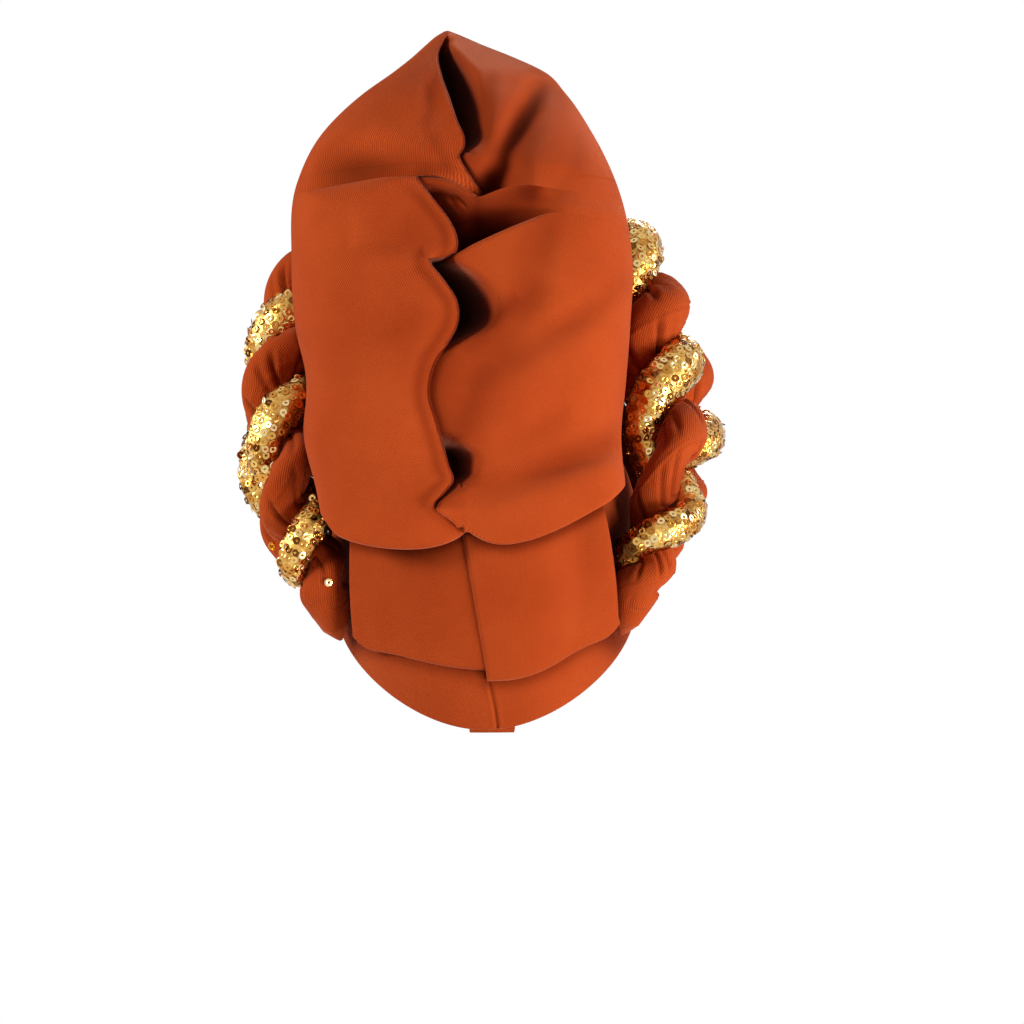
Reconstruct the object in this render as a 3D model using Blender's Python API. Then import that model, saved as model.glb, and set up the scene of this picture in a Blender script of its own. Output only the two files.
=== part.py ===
"""A pre-tied turban hat: a close cap, two flat back panels, a forehead band, a tall puffed crown with a
wavy fold down its back, and two twisted ropes of satin and gold cloth that arch over the head.

Lengths in the tables are millimetres. +Z is up, the wearer faces +Y, and the origin is where the top of
the head meets the inside of the cap.
"""

import math

import bmesh
import bpy
from mathutils import Vector

MM = 0.001

# Cloth
CLOTH = 2.0
GAP = 0.8

# Head hollow: half width, half length and height above its widest level
HEAD_WIDTH = 75.0
HEAD_LENGTH = 96.0
HEAD_RISE = 90.0
NAPE_DROP = 90.0
NAPE_NARROWING = 17.0
NAPE_FORWARD = 24.0

# Cap rim, from the forehead down to the nape
RIM_FRONT = -72.0
RIM_DROP = 104.0
RIM_POWER = 1.1
CAP_COLUMNS = 36
CAP_ROWS = 10

# Hem that shows under the nape
TAB_WIDTH = 28.0
TAB_HEIGHT = 9.0
TAB_SHOWS = 2.5
TAB_IN = 0.9

# Back panels: heights and the lift of their side edges over the rope ends
PANEL_TOP = -82.0
PANEL_LIFT = 1.5
PANEL_LIFT_FROM = 42.0
PANEL_COLUMNS = 12
PANEL_ROWS = 5
# Side edges as angles from the middle of the back, at the panel's foot and head
LEFT_PANEL = dict(inner_foot=9.0, inner_head=6.0, outer_foot=-56.0, outer_head=-58.0)
RIGHT_PANEL = dict(inner_foot=1.0, inner_head=-7.5, outer_foot=62.0, outer_head=47.0)
LEFT_PANEL_FOOT = -148.0
RIGHT_PANEL_FOOT = -153.0
LEFT_FOOT_RISE = 9.0
RIGHT_FOOT_RISE = 29.0

# Forehead band: its foot as an angle from the middle of the back and a height, and its upper edge
BAND_SECTIONS = [
    # angle, foot z, top x, top y, top z
    (99.0, -113.0, 78.0, 14.0, -70.0),
    (112.0, -100.0, 77.0, 26.0, -38.0),
    (135.0, -83.0, 61.0, 48.0, 6.0),
    (157.0, -76.0, 33.0, 56.0, 32.0),
    (180.0, -74.0, 0.0, 59.0, 41.0),
]
BAND_OUT = CLOTH + 2.0 * GAP + CLOTH / 2.0
BAND_COLUMNS = 24
BAND_ROWS = 5

# Crown outline: its silhouette from behind and its depths, from the hem to the peak
CROWN_SECTIONS = [
    # left x, left z, right x, right z, back y, front y, widest y
    (-75.0, -90.0, 74.0, -90.0, -113.0, 44.0, -84.0),
    (-80.5, -62.0, 72.5, -62.0, -115.0, 48.0, -80.0),
    (-87.0, -36.0, 68.5, -36.0, -117.0, 52.0, -70.0),
    (-86.0, -10.0, 69.5, -10.0, -118.0, 54.0, -62.0),
    (-92.0, 18.0, 71.5, 18.0, -116.0, 52.0, -56.0),
    (-94.0, 50.0, 71.5, 50.0, -108.0, 46.0, -52.0),
    (-91.5, 88.0, 63.5, 88.0, -96.0, 40.0, -46.0),
    (-78.0, 115.0, 51.0, 113.0, -80.0, 34.0, -40.0),
    (-60.0, 132.0, 39.5, 133.0, -65.0, 26.0, -34.0),
    (-45.5, 143.0, 29.0, 144.0, -54.0, 16.0, -28.0),
    (-36.5, 152.0, 14.0, 151.0, -42.0, 4.0, -23.0),
    (-29.5, 159.0, -2.0, 158.0, -31.0, -7.0, -19.0),
    (-24.0, 163.0, -12.0, 163.0, -22.0, -12.0, -17.0),
]
CROWN_BACK_POWER = 2.2
CROWN_FRONT_POWER = 1.6
CROWN_FREE_Z = 50.0

# Crown hem: it rises on the right, is nipped where the halves meet, and climbs over the head in front
HEM_Z = -91.5
HEM_RIGHT_FROM = 26.0
HEM_RIGHT_SPAN = 45.0
HEM_RIGHT_RISE = 32.0
HEM_LEFT_FROM = -54.0
HEM_LEFT_SPAN = 21.0
HEM_LEFT_RISE = 7.0
HEM_TUCK = 1.5
HEM_TUCK_HEIGHT = 12.0
HEM_NIP_X = -8.0
HEM_NIP_WIDTH = 7.0
HEM_NIP_RISE = 3.0
HEM_FRONT = [
    # y, z
    (-62.0, -46.0),
    (-30.0, -30.0),
    (0.0, -16.0),
    (44.0, -4.0),
]

# Free edge of the left half, which lies over the right half: one row for each lobe and each notch
LIP = [
    # z, x
    (163.0, -19.0),
    (153.0, -22.7),
    (104.0, -9.2),
    (97.5, -11.7),
    (79.0, -1.6),
    (74.5, -25.5),
    (56.5, -13.0),
    (45.0, -25.5),
    (21.0, -11.8),
    (-15.0, -25.5),
    (-57.5, -14.7),
    (-73.5, -24.6),
    (-88.0, -7.7),
]
LIP_ROLL = 2.6
LIP_UNDERCUT = 3.2
LIP_STEP = 5.0
LIP_STEP_FADE = 45.0

# Hollows beside the free edge
HOLLOWS = [
    # top z, foot z, depth, width
    (151.0, 99.0, 20.0, 13.0),
    (47.0, 4.0, 18.0, 19.0),
    (-41.0, -59.0, 10.0, 9.0),
]

# Soft valleys of the cloth, each along a line, with its depth and its reach on the upper and lower side
RIGHT_VALLEYS = [
    # x, z, end x, end z, depth, reach above, reach below
    (31.0, 134.0, 2.0, 80.0, 11.0, 10.0, 5.0),
    (30.0, 55.0, 8.0, 12.0, 2.5, 7.0, 7.0),
    (62.0, -44.0, 14.0, -60.0, 2.5, 9.0, 6.0),
    (66.0, 20.0, 40.0, 2.0, 1.8, 10.0, 10.0),
]
LEFT_VALLEYS = [
    (-88.0, 84.5, -34.0, 86.5, 1.5, 5.0, 3.0),
    (-30.0, 83.5, -8.0, 76.5, 9.0, 2.5, 4.0),
    (-84.0, 6.0, -40.0, -6.0, 1.6, 12.0, 12.0),
]

# Pleat across the right half: the upper cloth overhangs a shelf that runs down to a crest
SHELF = dict(x=-22.0, z=75.5, end_x=31.0, end_z=82.0, depth=17.0, reach=27.0, end_reach=8.0, step=2.5)

# Crown mesh: columns of the fold, the right back, the front and the left back
CROWN_OUT = 4.4
FOLD_COLUMNS = 5
FOLD_END = 1.6
RIGHT_COLUMNS = 13
FRONT_COLUMNS = 12
LEFT_COLUMNS = 12
CROWN_ROWS = 27

# Ropes: full radius, each strand's distance from the rope's middle and its two half thicknesses
ROPE_RADIUS = 23.0
SATIN = dict(off=-10.7, radial=12.2, across=11.0)
GOLD = dict(off=12.5, radial=10.3, across=9.5)
# Middle to middle of two neighbouring strands at which they have the half thicknesses above
STRAND_SPACE = 22.0
ROPE_SIDES = 8
RINGS_PER_TURN = 8
ROUTE_STEPS = 12
CLOTH_TO_ROPE = 5.0

# Routes from the left nape corner over the head to the right one. Turns count the twist: the gold strand
# faces the back at whole turns.
REAR_ROPE = [
    # x, y, z, radius, turns
    (-70.5, -42.0, -134.0, 5.0, -0.75),
    (-78.0, -47.0, -115.0, 10.5, -0.40),
    (-86.0, -52.0, -92.0, 16.5, 0.0),
    (-92.0, -48.0, -66.0, 20.0, 0.45),
    (-98.0, -32.0, -40.0, 23.0, 0.82),
    (-99.0, -14.0, -14.0, 23.0, 1.25),
    (-97.0, 4.0, 10.0, 23.0, 1.75),
    (-87.0, 20.0, 36.0, 23.0, 2.25),
    (-67.0, 36.0, 62.0, 23.0, 2.80),
    (-36.0, 48.0, 79.0, 23.0, 3.35),
    (0.0, 53.0, 85.0, 23.0, 3.85),
    (36.0, 47.0, 77.0, 23.0, 4.35),
    (62.0, 30.0, 54.0, 23.0, 4.93),
    (77.0, 14.0, 30.0, 23.0, 5.36),
    (86.0, 0.0, 6.0, 23.0, 5.72),
    (88.0, -16.0, -18.0, 22.0, 6.05),
    (87.0, -36.0, -43.0, 21.0, 6.42),
    (86.0, -52.0, -68.0, 21.0, 6.76),
    (84.0, -54.0, -92.0, 16.5, 7.08),
    (78.0, -46.0, -113.0, 10.5, 7.38),
    (72.0, -38.0, -131.0, 5.0, 7.65),
]
FRONT_ROPE = [
    (-82.0, -18.0, -124.0, 5.0, -0.8),
    (-91.0, -14.0, -106.0, 11.0, -0.5),
    (-98.0, -8.0, -84.0, 17.0, -0.1),
    (-100.5, 4.3, -60.0, 21.0, 0.35),
    (-101.0, 27.0, -35.0, 23.0, 0.85),
    (-96.0, 46.0, -9.0, 23.0, 1.35),
    (-82.0, 63.0, 15.0, 23.0, 1.85),
    (-58.0, 76.0, 34.0, 23.0, 2.4),
    (-29.0, 84.0, 47.0, 23.0, 2.9),
    (0.0, 86.0, 52.0, 23.0, 3.4),
    (29.0, 84.0, 47.0, 23.0, 3.9),
    (58.0, 76.0, 34.0, 23.0, 4.4),
    (82.0, 63.0, 15.0, 23.0, 4.95),
    (95.0, 46.0, -9.0, 23.0, 5.45),
    (99.0, 27.0, -35.0, 22.0, 5.95),
    (99.0, 6.0, -60.0, 20.0, 6.45),
    (96.0, -8.0, -84.0, 16.0, 6.9),
    (90.0, -14.0, -106.0, 11.0, 7.25),
    (82.0, -18.0, -124.0, 5.0, 7.5),
]
# The gold strand ends short of the satin one at each end of a rope
GOLD_SHORT = 0.55

MATERIALS = {
    # red, green, blue, roughness, metallic
    "satin": (0.52, 0.09, 0.02, 0.42, 0.0),
    "gold": (0.80, 0.48, 0.12, 0.3, 0.9),
}


def clamp(value, low=0.0, high=1.0):
    return min(max(value, low), high)


def ease(value):
    """0 below 0, 1 above 1, and a smooth rise between."""
    value = clamp(value)
    return value * value * (3.0 - 2.0 * value)


def along(rows, step):
    """The row at a fractional step of a table, on a smooth curve through all its rows."""
    last = len(rows) - 1
    step = clamp(step, 0.0, last)
    i = min(int(step), last - 1)
    f = step - i
    p, q, r, s = rows[max(i - 1, 0)], rows[i], rows[i + 1], rows[min(i + 2, last)]
    return [
        0.5 * (2 * b + (c - a) * f + (2 * a - 5 * b + 4 * c - d) * f**2 + (3 * b - a - 3 * c + d) * f**3)
        for a, b, c, d in zip(p, q, r, s)
    ]


def step_at(rows, column, value):
    """The fractional step at which a column of a table, rising or falling, reaches a value."""
    for i in range(len(rows) - 1):
        low, high = rows[i][column], rows[i + 1][column]
        if (low - value) * (high - value) <= 0.0 and low != high:
            return i + (value - low) / (high - low)
    nearest = min((0, len(rows) - 1), key=lambda i: abs(rows[i][column] - value))
    return float(nearest)


def waves(rows, value):
    """The second column at a value of the first, with a level top at each row, as a scalloped edge has."""
    step = step_at(rows, 0, value)
    i = min(int(step), len(rows) - 2)
    return rows[i][1] + (rows[i + 1][1] - rows[i][1]) * ease(step - i)


def between(low, high, share):
    return low + (high - low) * share


def material(kind):
    """The plain colour of a kind of cloth, made once."""
    found = bpy.data.materials.get(kind)
    if found:
        return found
    red, green, blue, roughness, metallic = MATERIALS[kind]
    new = bpy.data.materials.new(kind)
    new.use_nodes = True
    shader = new.node_tree.nodes["Principled BSDF"]
    shader.inputs["Base Color"].default_value = (red, green, blue, 1.0)
    shader.inputs["Roughness"].default_value = roughness
    shader.inputs["Metallic"].default_value = metallic
    return new


def new_object(name, points, faces, kind):
    """A mesh object from points in millimetres, with its faces turned outwards."""
    mesh = bpy.data.meshes.new(name)
    mesh.from_pydata([Vector(p) * MM for p in points], [], faces)
    work = bmesh.new()
    work.from_mesh(mesh)
    bmesh.ops.recalc_face_normals(work, faces=work.faces)
    work.to_mesh(mesh)
    work.free()
    mesh.shade_smooth()
    mesh.materials.append(material(kind))
    made = bpy.data.objects.new(name, mesh)
    bpy.context.scene.collection.objects.link(made)
    return made


def grid_faces(rows, columns, ring, first=0):
    """Quads of a grid of points that are numbered row by row from first."""
    faces = []
    for i in range(rows - 1):
        for j in range(columns if ring else columns - 1):
            here, beside = first + i * columns + j, first + i * columns + (j + 1) % columns
            faces.append((here, beside, beside + columns, here + columns))
    return faces


def walled_sheet(name, outer, inner, kind):
    """A solid sheet between two grids of points, closed along its four edges."""
    rows, columns = len(outer), len(outer[0])
    points = [p for grid in (outer, inner) for row in grid for p in row]
    count = rows * columns
    faces = grid_faces(rows, columns, False) + grid_faces(rows, columns, False, count)
    edge = [j for j in range(columns)]
    edge += [i * columns + columns - 1 for i in range(1, rows)]
    edge += [(rows - 1) * columns + j for j in range(columns - 2, -1, -1)]
    edge += [i * columns for i in range(rows - 2, 0, -1)]
    for a, b in zip(edge, edge[1:] + edge[:1]):
        faces.append((a, b, b + count, a + count))
    return new_object(name, points, faces, kind)


def walled_dome(name, outer, inner, kind):
    """A solid dome between two grids of rings, each closed by its own top point, and open below."""
    rows, columns = len(outer) - 1, len(outer[0])
    points, faces, rims = [], [], []
    for grid in (outer, inner):
        first = len(points)
        points += [p for row in grid[:-1] for p in row]
        points += grid[-1]
        faces += grid_faces(rows, columns, True, first)
        last, top = first + (rows - 1) * columns, first + rows * columns
        faces += [(last + j, last + (j + 1) % columns, top) for j in range(columns)]
        rims.append(first)
    for j in range(columns):
        beside = (j + 1) % columns
        faces.append((rims[0] + j, rims[0] + beside, rims[1] + beside, rims[1] + j))
    return new_object(name, points, faces, kind)


def head_level(z):
    """How far up the head's curve a height lies, from the head's widest level."""
    rise = z + HEAD_RISE
    return rise if rise < 0.0 else HEAD_RISE * math.asin(min(rise / HEAD_RISE, 1.0))


def head_point(angle, level, out):
    """A point out from the head's surface. The angle is 0 at the back and grows towards the right."""
    side, back = math.sin(angle), math.cos(angle)
    if level < 0.0:
        drop = -level / NAPE_DROP
        width = HEAD_WIDTH - NAPE_NARROWING * drop**2 + out
        length = HEAD_LENGTH + out - (NAPE_FORWARD * drop**1.6 if back > 0.0 else 0.0)
        z = level
    else:
        lean = level / HEAD_RISE
        width = (HEAD_WIDTH + out) * math.cos(lean)
        length = (HEAD_LENGTH + out) * math.cos(lean)
        z = (HEAD_RISE + out) * math.sin(lean)
    return Vector((width * side, -length * back, z - HEAD_RISE))


def clear_of_head(point, out):
    """Moves a point that is nearer than out to the head's dome away from it."""
    shares = (point.x / (HEAD_WIDTH + out), point.y / (HEAD_LENGTH + out))
    rise = max(point.z + HEAD_RISE, 0.0) / (HEAD_RISE + out)
    inside = math.hypot(shares[0], shares[1], rise)
    if inside >= 1.0:
        return point
    if point.z < -HEAD_RISE:
        return Vector((point.x / inside, point.y / inside, point.z))
    centre = Vector((0.0, 0.0, -HEAD_RISE))
    return centre + (point - centre) / inside


def thicken(sheet):
    """Gives a single surface the cloth's thickness, half on each side."""
    wall = sheet.modifiers.new("cloth", "SOLIDIFY")
    wall.thickness = CLOTH * MM
    wall.offset = 0.0
    wall.use_even_offset = False


def rim_height(angle):
    return RIM_FRONT - RIM_DROP * ((1.0 + math.cos(angle)) / 2.0) ** RIM_POWER


def make_base_cap():
    """The close cap, hollow for the head."""
    top = HEAD_RISE * math.pi / 2.0
    grids = []
    for out in (CLOTH, 0.0):
        rows = []
        for i in range(CAP_ROWS):
            ring = []
            for j in range(CAP_COLUMNS):
                angle = 2.0 * math.pi * j / CAP_COLUMNS
                rim = head_level(rim_height(angle))
                ring.append(head_point(angle, between(rim, top, i / CAP_ROWS), out))
            rows.append(ring)
        rows.append([head_point(0.0, top, out)])
        grids.append(rows)
    walled_dome("base_cap", grids[0], grids[1], "satin")


def make_nape_tab():
    """The end of folded hem that shows under the nape, inside the cap."""
    half = TAB_WIDTH / 2.0 / HEAD_WIDTH
    foot = rim_height(0.0) - TAB_SHOWS
    grids = []
    for out in (-TAB_IN, -TAB_IN - CLOTH):
        rows = []
        for height in (foot, foot + TAB_HEIGHT):
            level = head_level(height)
            rows.append([head_point(half * turn, level, out) for turn in (-1.0, -0.5, 0.0, 0.5, 1.0)])
        grids.append(rows)
    walled_sheet("nape_tab", grids[0], grids[1], "satin")


def panel_point(edges, foot, foot_rise, base, across, up, out):
    """A point of a back panel. across runs from its inner to its outer side edge, up from its foot."""
    inner = between(edges["inner_foot"], edges["inner_head"], up)
    outer = between(edges["outer_foot"], edges["outer_head"], up)
    angle = between(inner, outer, across)
    lift = PANEL_LIFT * ease((abs(angle) - PANEL_LIFT_FROM) / (abs(outer) - PANEL_LIFT_FROM))
    low = foot + foot_rise * ease(across) ** 1.5
    z = between(low, PANEL_TOP, up)
    return head_point(math.radians(angle), head_level(z), base(angle) + lift + out)


def make_panel(name, edges, foot, foot_rise, base):
    grids = []
    for out in (CLOTH, 0.0):
        rows = []
        for i in range(PANEL_ROWS + 1):
            rows.append([
                panel_point(edges, foot, foot_rise, base, j / PANEL_COLUMNS, i / PANEL_ROWS, out)
                for j in range(PANEL_COLUMNS + 1)
            ])
        grids.append(rows)
    walled_sheet(name, grids[0], grids[1], "satin")


def left_base(angle):
    return CLOTH + GAP


def right_base(angle):
    """The right panel steps up over the edge of the left one."""
    over = ease((LEFT_PANEL["inner_foot"] + 8.0 - angle) / 7.0)
    return CLOTH + GAP + (CLOTH + GAP) * over


def band_point(step, up):
    """A point of the forehead band, which leaves the head in front and leans back under the ropes."""
    angle, low, x, y, z = along(BAND_SECTIONS, step)
    foot = head_point(math.radians(angle), head_level(low), BAND_OUT)
    return clear_of_head(foot.lerp(Vector((x, y, z)), up), BAND_OUT)


def make_forehead_band(routes):
    """One band from behind the right ear round the forehead to behind the left ear."""
    last = len(BAND_SECTIONS) - 1
    points = []
    for i in range(BAND_ROWS + 1):
        for j in range(BAND_COLUMNS + 1):
            share = 2.0 * j / BAND_COLUMNS - 1.0
            point = band_point(last * (1.0 - abs(share)), i / BAND_ROWS)
            point.x = math.copysign(point.x, share) if abs(share) > 0.001 else 0.0
            points.append(clear_of_ropes(point, routes, CLOTH_TO_ROPE))
    band = new_object("forehead_band", points, grid_faces(BAND_ROWS + 1, BAND_COLUMNS + 1, False), "satin")
    thicken(band)


def valley_depth(row, x, z):
    """How deep a soft valley is at a place, seen from behind."""
    start_x, start_z, end_x, end_z, depth, above, below = row
    run_x, run_z = end_x - start_x, end_z - start_z
    length = math.hypot(run_x, run_z)
    share = ((x - start_x) * run_x + (z - start_z) * run_z) / length**2
    aside = ((z - start_z) * run_x - (x - start_x) * run_z) / length
    if run_x < 0.0:
        aside = -aside
    fade = math.sin(math.pi * clamp(share)) ** 0.5
    return depth * fade * math.exp(-((aside / (above if aside > 0.0 else below)) ** 2))


def shelf_depth(x, z):
    """The overhung shelf across the right half."""
    share = clamp((x - SHELF["x"]) / (SHELF["end_x"] - SHELF["x"]))
    under = between(SHELF["z"], SHELF["end_z"], ease(share)) - z
    reach = between(SHELF["reach"], SHELF["end_reach"], share)
    rise = ease(under / SHELF["step"] + 0.5)
    fade = 1.0 - ease((x - SHELF["end_x"] + 8.0) / 12.0)
    return SHELF["depth"] * rise * fade * (1.0 - ease(under / reach))


def end_fade(z):
    """The fold dies out towards the peak and at the hem."""
    return ease((LIP[0][0] - 4.0 - z) / 18.0) * ease((z - HEM_Z - 5.0) / 14.0)


def right_depth(x, z):
    """How far the right half lies behind the crown's outline."""
    beyond = max(x - waves(LIP, z), 0.0)
    depth = LIP_STEP * end_fade(z) * (1.0 - ease(beyond / LIP_STEP_FADE))
    for top, foot, deep, width in HOLLOWS:
        swell = math.sin(math.pi * clamp((z - foot) / (top - foot)))
        if swell > 0.0:
            depth += deep * swell**0.7 * (1.0 - ease(beyond / (width * swell**0.4)))
    depth += shelf_depth(x, z)
    return depth + sum(valley_depth(row, x, z) for row in RIGHT_VALLEYS)


def left_depth(x, z):
    """How far the left half lies behind the crown's outline."""
    return sum(valley_depth(row, x, z) for row in LEFT_VALLEYS)


def oval_point(section, angle):
    """Place on the crown's plain outline. The angle is 0 at the back and grows towards the right."""
    left, _, right, _, back, front, widest = section
    side, facing = math.sin(angle), math.cos(angle)
    power = 2.0 / (CROWN_BACK_POWER if facing >= 0.0 else CROWN_FRONT_POWER)
    x = (left + right) / 2.0 + (right - left) / 2.0 * math.copysign(abs(side) ** power, side)
    reach = back if facing >= 0.0 else front
    return x, widest + (reach - widest) * abs(facing) ** power


def oval_angle(section, x):
    """The angle at which the back of the outline passes x."""
    left, _, right, _, _, _, _ = section
    share = clamp((2.0 * x - left - right) / (right - left), -0.98, 0.98)
    return math.copysign(math.asin(abs(share) ** (CROWN_BACK_POWER / 2.0)), share)


def fold_place(lip, deep, column):
    """x and depth of a column of the fold: the rolled lip, the wall under it and the foot of the wall."""
    roll = min(LIP_ROLL, deep / 3.0)
    undercut = LIP_UNDERCUT * ease((deep - LIP_STEP) / LIP_STEP)
    folded = [
        (lip - 0.2 * roll, 0.4 * roll),
        (lip, 1.3 * roll),
        (lip - undercut, max(0.55 * deep, 2.0 * roll)),
        (lip - 0.8 * undercut, deep),
        (lip + FOLD_END, deep),
    ][column]
    spread = lip + between(-LIP_ROLL, FOLD_END, (column + 1.0) / FOLD_COLUMNS)
    return between(spread, folded[0], ease(deep / LIP_STEP)), folded[1]


def column_place(section, z, part, share):
    """x, y and depth of a column of the crown at a height."""
    lip = waves(LIP, z)
    if part == "fold":
        x, depth = fold_place(lip, right_depth(lip, z), share)
        return x, oval_point(section, oval_angle(section, x))[1], depth
    quarter = math.pi / 2.0
    if part == "front":
        x, y = oval_point(section, between(quarter, 3.0 * quarter, share))
        return x, y, 0.0
    if part == "right":
        x, y = oval_point(section, between(oval_angle(section, lip + FOLD_END), quarter, share))
        return x, y, right_depth(x, z) * (1.0 - ease((share - 0.75) / 0.25))
    x, y = oval_point(section, between(-quarter, oval_angle(section, lip - LIP_ROLL), share))
    return x, y, left_depth(x, z) * ease(share / 0.2)


def hem_height(x, y, widest):
    """Where the crown's lower edge runs: level behind, up on the right, and up over the head in front."""
    behind = HEM_Z + HEM_RIGHT_RISE * clamp((x - HEM_RIGHT_FROM) / HEM_RIGHT_SPAN) ** 2
    behind += HEM_LEFT_RISE * clamp((HEM_LEFT_FROM - x) / HEM_LEFT_SPAN) ** 2
    behind += HEM_NIP_RISE * math.exp(-(((x - HEM_NIP_X) / HEM_NIP_WIDTH) ** 2))
    if y <= widest:
        return behind
    first = HEM_FRONT[0]
    if y < first[0]:
        return between(behind, first[1], ease((y - widest) / (first[0] - widest)))
    return waves(HEM_FRONT, y)


def crown_point(step, part, share):
    """A point of the crown's cloth. step counts up the table of sections."""
    section = along(CROWN_SECTIONS, step)
    low = CROWN_SECTIONS[0][1]
    plain = section[1]
    z = plain
    for _ in range(5):
        x, y, depth = column_place(section, z, part, share)
        if plain < CROWN_FREE_Z:
            hem = hem_height(x, y, section[6])
            z = between(hem, CROWN_FREE_Z, (plain - low) / (CROWN_FREE_Z - low))
            section = along(CROWN_SECTIONS, step_at(CROWN_SECTIONS, 1, z))
        else:
            left, right = section[0], section[2]
            z = between(section[1], section[3], clamp((x - left) / (right - left)))
    tuck = HEM_TUCK * (1.0 - ease((z - HEM_Z) / HEM_TUCK_HEIGHT)) * ease((section[6] - y) / 20.0)
    return Vector((x, y + depth + tuck, z))


def crown_columns():
    """Each column of the crown as its part and its share of that part, once round from the fold."""
    columns = [("fold", k) for k in range(FOLD_COLUMNS)]
    columns += [("right", (k + 1) / RIGHT_COLUMNS) for k in range(RIGHT_COLUMNS)]
    columns += [("front", (k + 1) / FRONT_COLUMNS) for k in range(FRONT_COLUMNS)]
    columns += [("left", (k + 1) / LEFT_COLUMNS) for k in range(LEFT_COLUMNS)]
    return columns


def clear_of_ropes(point, routes, space):
    """Dents the cloth where a rope presses on it, and leaves a space to the rope."""
    for route in routes:
        nearest = min(route, key=lambda place: (point - place[0]).length)
        away = point - nearest[0]
        keep = nearest[1] + space
        if away.length < keep:
            point = nearest[0] + away.normalized() * keep
    return point


def make_crown(routes):
    """The puffed crown, hollow and open below, with its fold, hollows and pleat."""
    columns = crown_columns()
    last = len(CROWN_SECTIONS) - 1
    points = []
    for i in range(CROWN_ROWS + 1):
        step = last * i / CROWN_ROWS
        for part, share in columns:
            point = clear_of_head(crown_point(step, part, share), CROWN_OUT)
            points.append(clear_of_ropes(point, routes, CLOTH_TO_ROPE))
    count = len(columns)
    faces = grid_faces(CROWN_ROWS + 1, count, True)
    top = sum(points[-count:], Vector()) / count
    points.append(top + Vector((0.0, 0.0, 1.5)))
    first = CROWN_ROWS * count
    faces += [(first + j, first + (j + 1) % count, len(points) - 1) for j in range(count)]
    crown = new_object("crown", points, faces, "satin")
    thicken(crown)


def rope_places(rows):
    """Points along a rope's middle: place, radius, turns and direction."""
    places = []
    count = (len(rows) - 1) * ROUTE_STEPS
    for k in range(count + 1):
        x, y, z, radius, turns = along(rows, k / ROUTE_STEPS)
        places.append([Vector((x, y, z)), radius, turns])
    for k, place in enumerate(places):
        ahead, behind = places[min(k + 1, count)][0], places[max(k - 1, 0)][0]
        place.append((ahead - behind).normalized())
    return places


def place_at_turn(places, turns):
    """The rope's place, radius and direction at a count of turns."""
    for a, b in zip(places, places[1:]):
        if turns <= b[2] or b is places[-1]:
            share = (turns - a[2]) / (b[2] - a[2])
            direction = a[3].lerp(b[3], share).normalized()
            return a[0].lerp(b[0], share), between(a[1], b[1], share), direction


def strand_middle(places, off, turns):
    """The middle of a strand, its outward direction and the rope's size there."""
    place, radius, direction = place_at_turn(places, turns)
    back = Vector((0.0, -1.0, 0.0))
    facing = (back - direction * back.dot(direction)).normalized()
    beside = direction.cross(facing)
    turn = 2.0 * math.pi * turns
    outward = facing * math.cos(turn) + beside * math.sin(turn)
    size = radius / ROPE_RADIUS
    return place + outward * off * size, outward, size


def strand_swell(places, off, turns, run):
    """How much wider or narrower a strand is than plain, as its neighbours half a turn away allow."""
    middle = strand_middle(places, off, turns)[0]
    spaces = []
    for away in (-0.5, 0.5):
        beside = strand_middle(places, -off, turns + away)[0] - middle
        spaces.append(beside.cross(run).length)
    return clamp(min(spaces) / STRAND_SPACE, 0.8, 1.08)


def make_strand(name, rows, strand, short, kind):
    """One strand of a twisted rope, wound round the rope's middle. The satin one closes each end alone."""
    places = rope_places(rows)
    start, end = rows[0][4] + short, rows[-1][4] - short
    count = round((end - start) * RINGS_PER_TURN)
    turns = [between(start, end, k / count) for k in range(count + 1)]
    alone = [0.0 if short else ease(1.0 - min(t - start, end - t) / GOLD_SHORT) for t in turns]
    middles = [strand_middle(places, strand["off"] * (1.0 - lone), t) for t, lone in zip(turns, alone)]
    points = []
    for k, (middle, outward, size) in enumerate(middles):
        run = (middles[min(k + 1, count)][0] - middles[max(k - 1, 0)][0]).normalized()
        across = run.cross(outward)
        swell = strand_swell(places, strand["off"], turns[k], run)
        taper = size * (0.6 if k in (0, count) else 1.0)
        radial = between(strand["radial"], ROPE_RADIUS, alone[k])
        aside = between(strand["across"] * swell, ROPE_RADIUS, alone[k])
        for j in range(ROPE_SIDES):
            turn = 2.0 * math.pi * (j + 0.5) / ROPE_SIDES
            offset = outward * radial * math.cos(turn) + across * aside * math.sin(turn)
            points.append(middle + offset * taper)
    faces = grid_faces(count + 1, ROPE_SIDES, True)
    faces.append(tuple(range(ROPE_SIDES)))
    faces.append(tuple(count * ROPE_SIDES + j for j in range(ROPE_SIDES)))
    new_object(name, points, faces, kind)


def clear_scene():
    for old in list(bpy.data.objects):
        bpy.data.objects.remove(old, do_unlink=True)


def main():
    clear_scene()
    make_base_cap()
    make_nape_tab()
    make_panel("panel_left", LEFT_PANEL, LEFT_PANEL_FOOT, LEFT_FOOT_RISE, left_base)
    make_panel("panel_right", RIGHT_PANEL, RIGHT_PANEL_FOOT, RIGHT_FOOT_RISE, right_base)
    routes = [rope_places(REAR_ROPE), rope_places(FRONT_ROPE)]
    make_forehead_band(routes)
    make_crown(routes)
    for name, rows in (("rear_rope", REAR_ROPE), ("front_rope", FRONT_ROPE)):
        make_strand(name + "_satin", rows, SATIN, 0.0, "satin")
        make_strand(name + "_gold", rows, GOLD, GOLD_SHORT, "gold")


main()
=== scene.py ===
"""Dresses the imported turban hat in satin, pleats, seams, gold cloth and sequins.

Lengths in the tables are millimetres. +Z is up and the wearer faces +Y, so the back of the hat faces the
camera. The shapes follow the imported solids, with finer folds than they have.
"""

import math
import random

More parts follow.
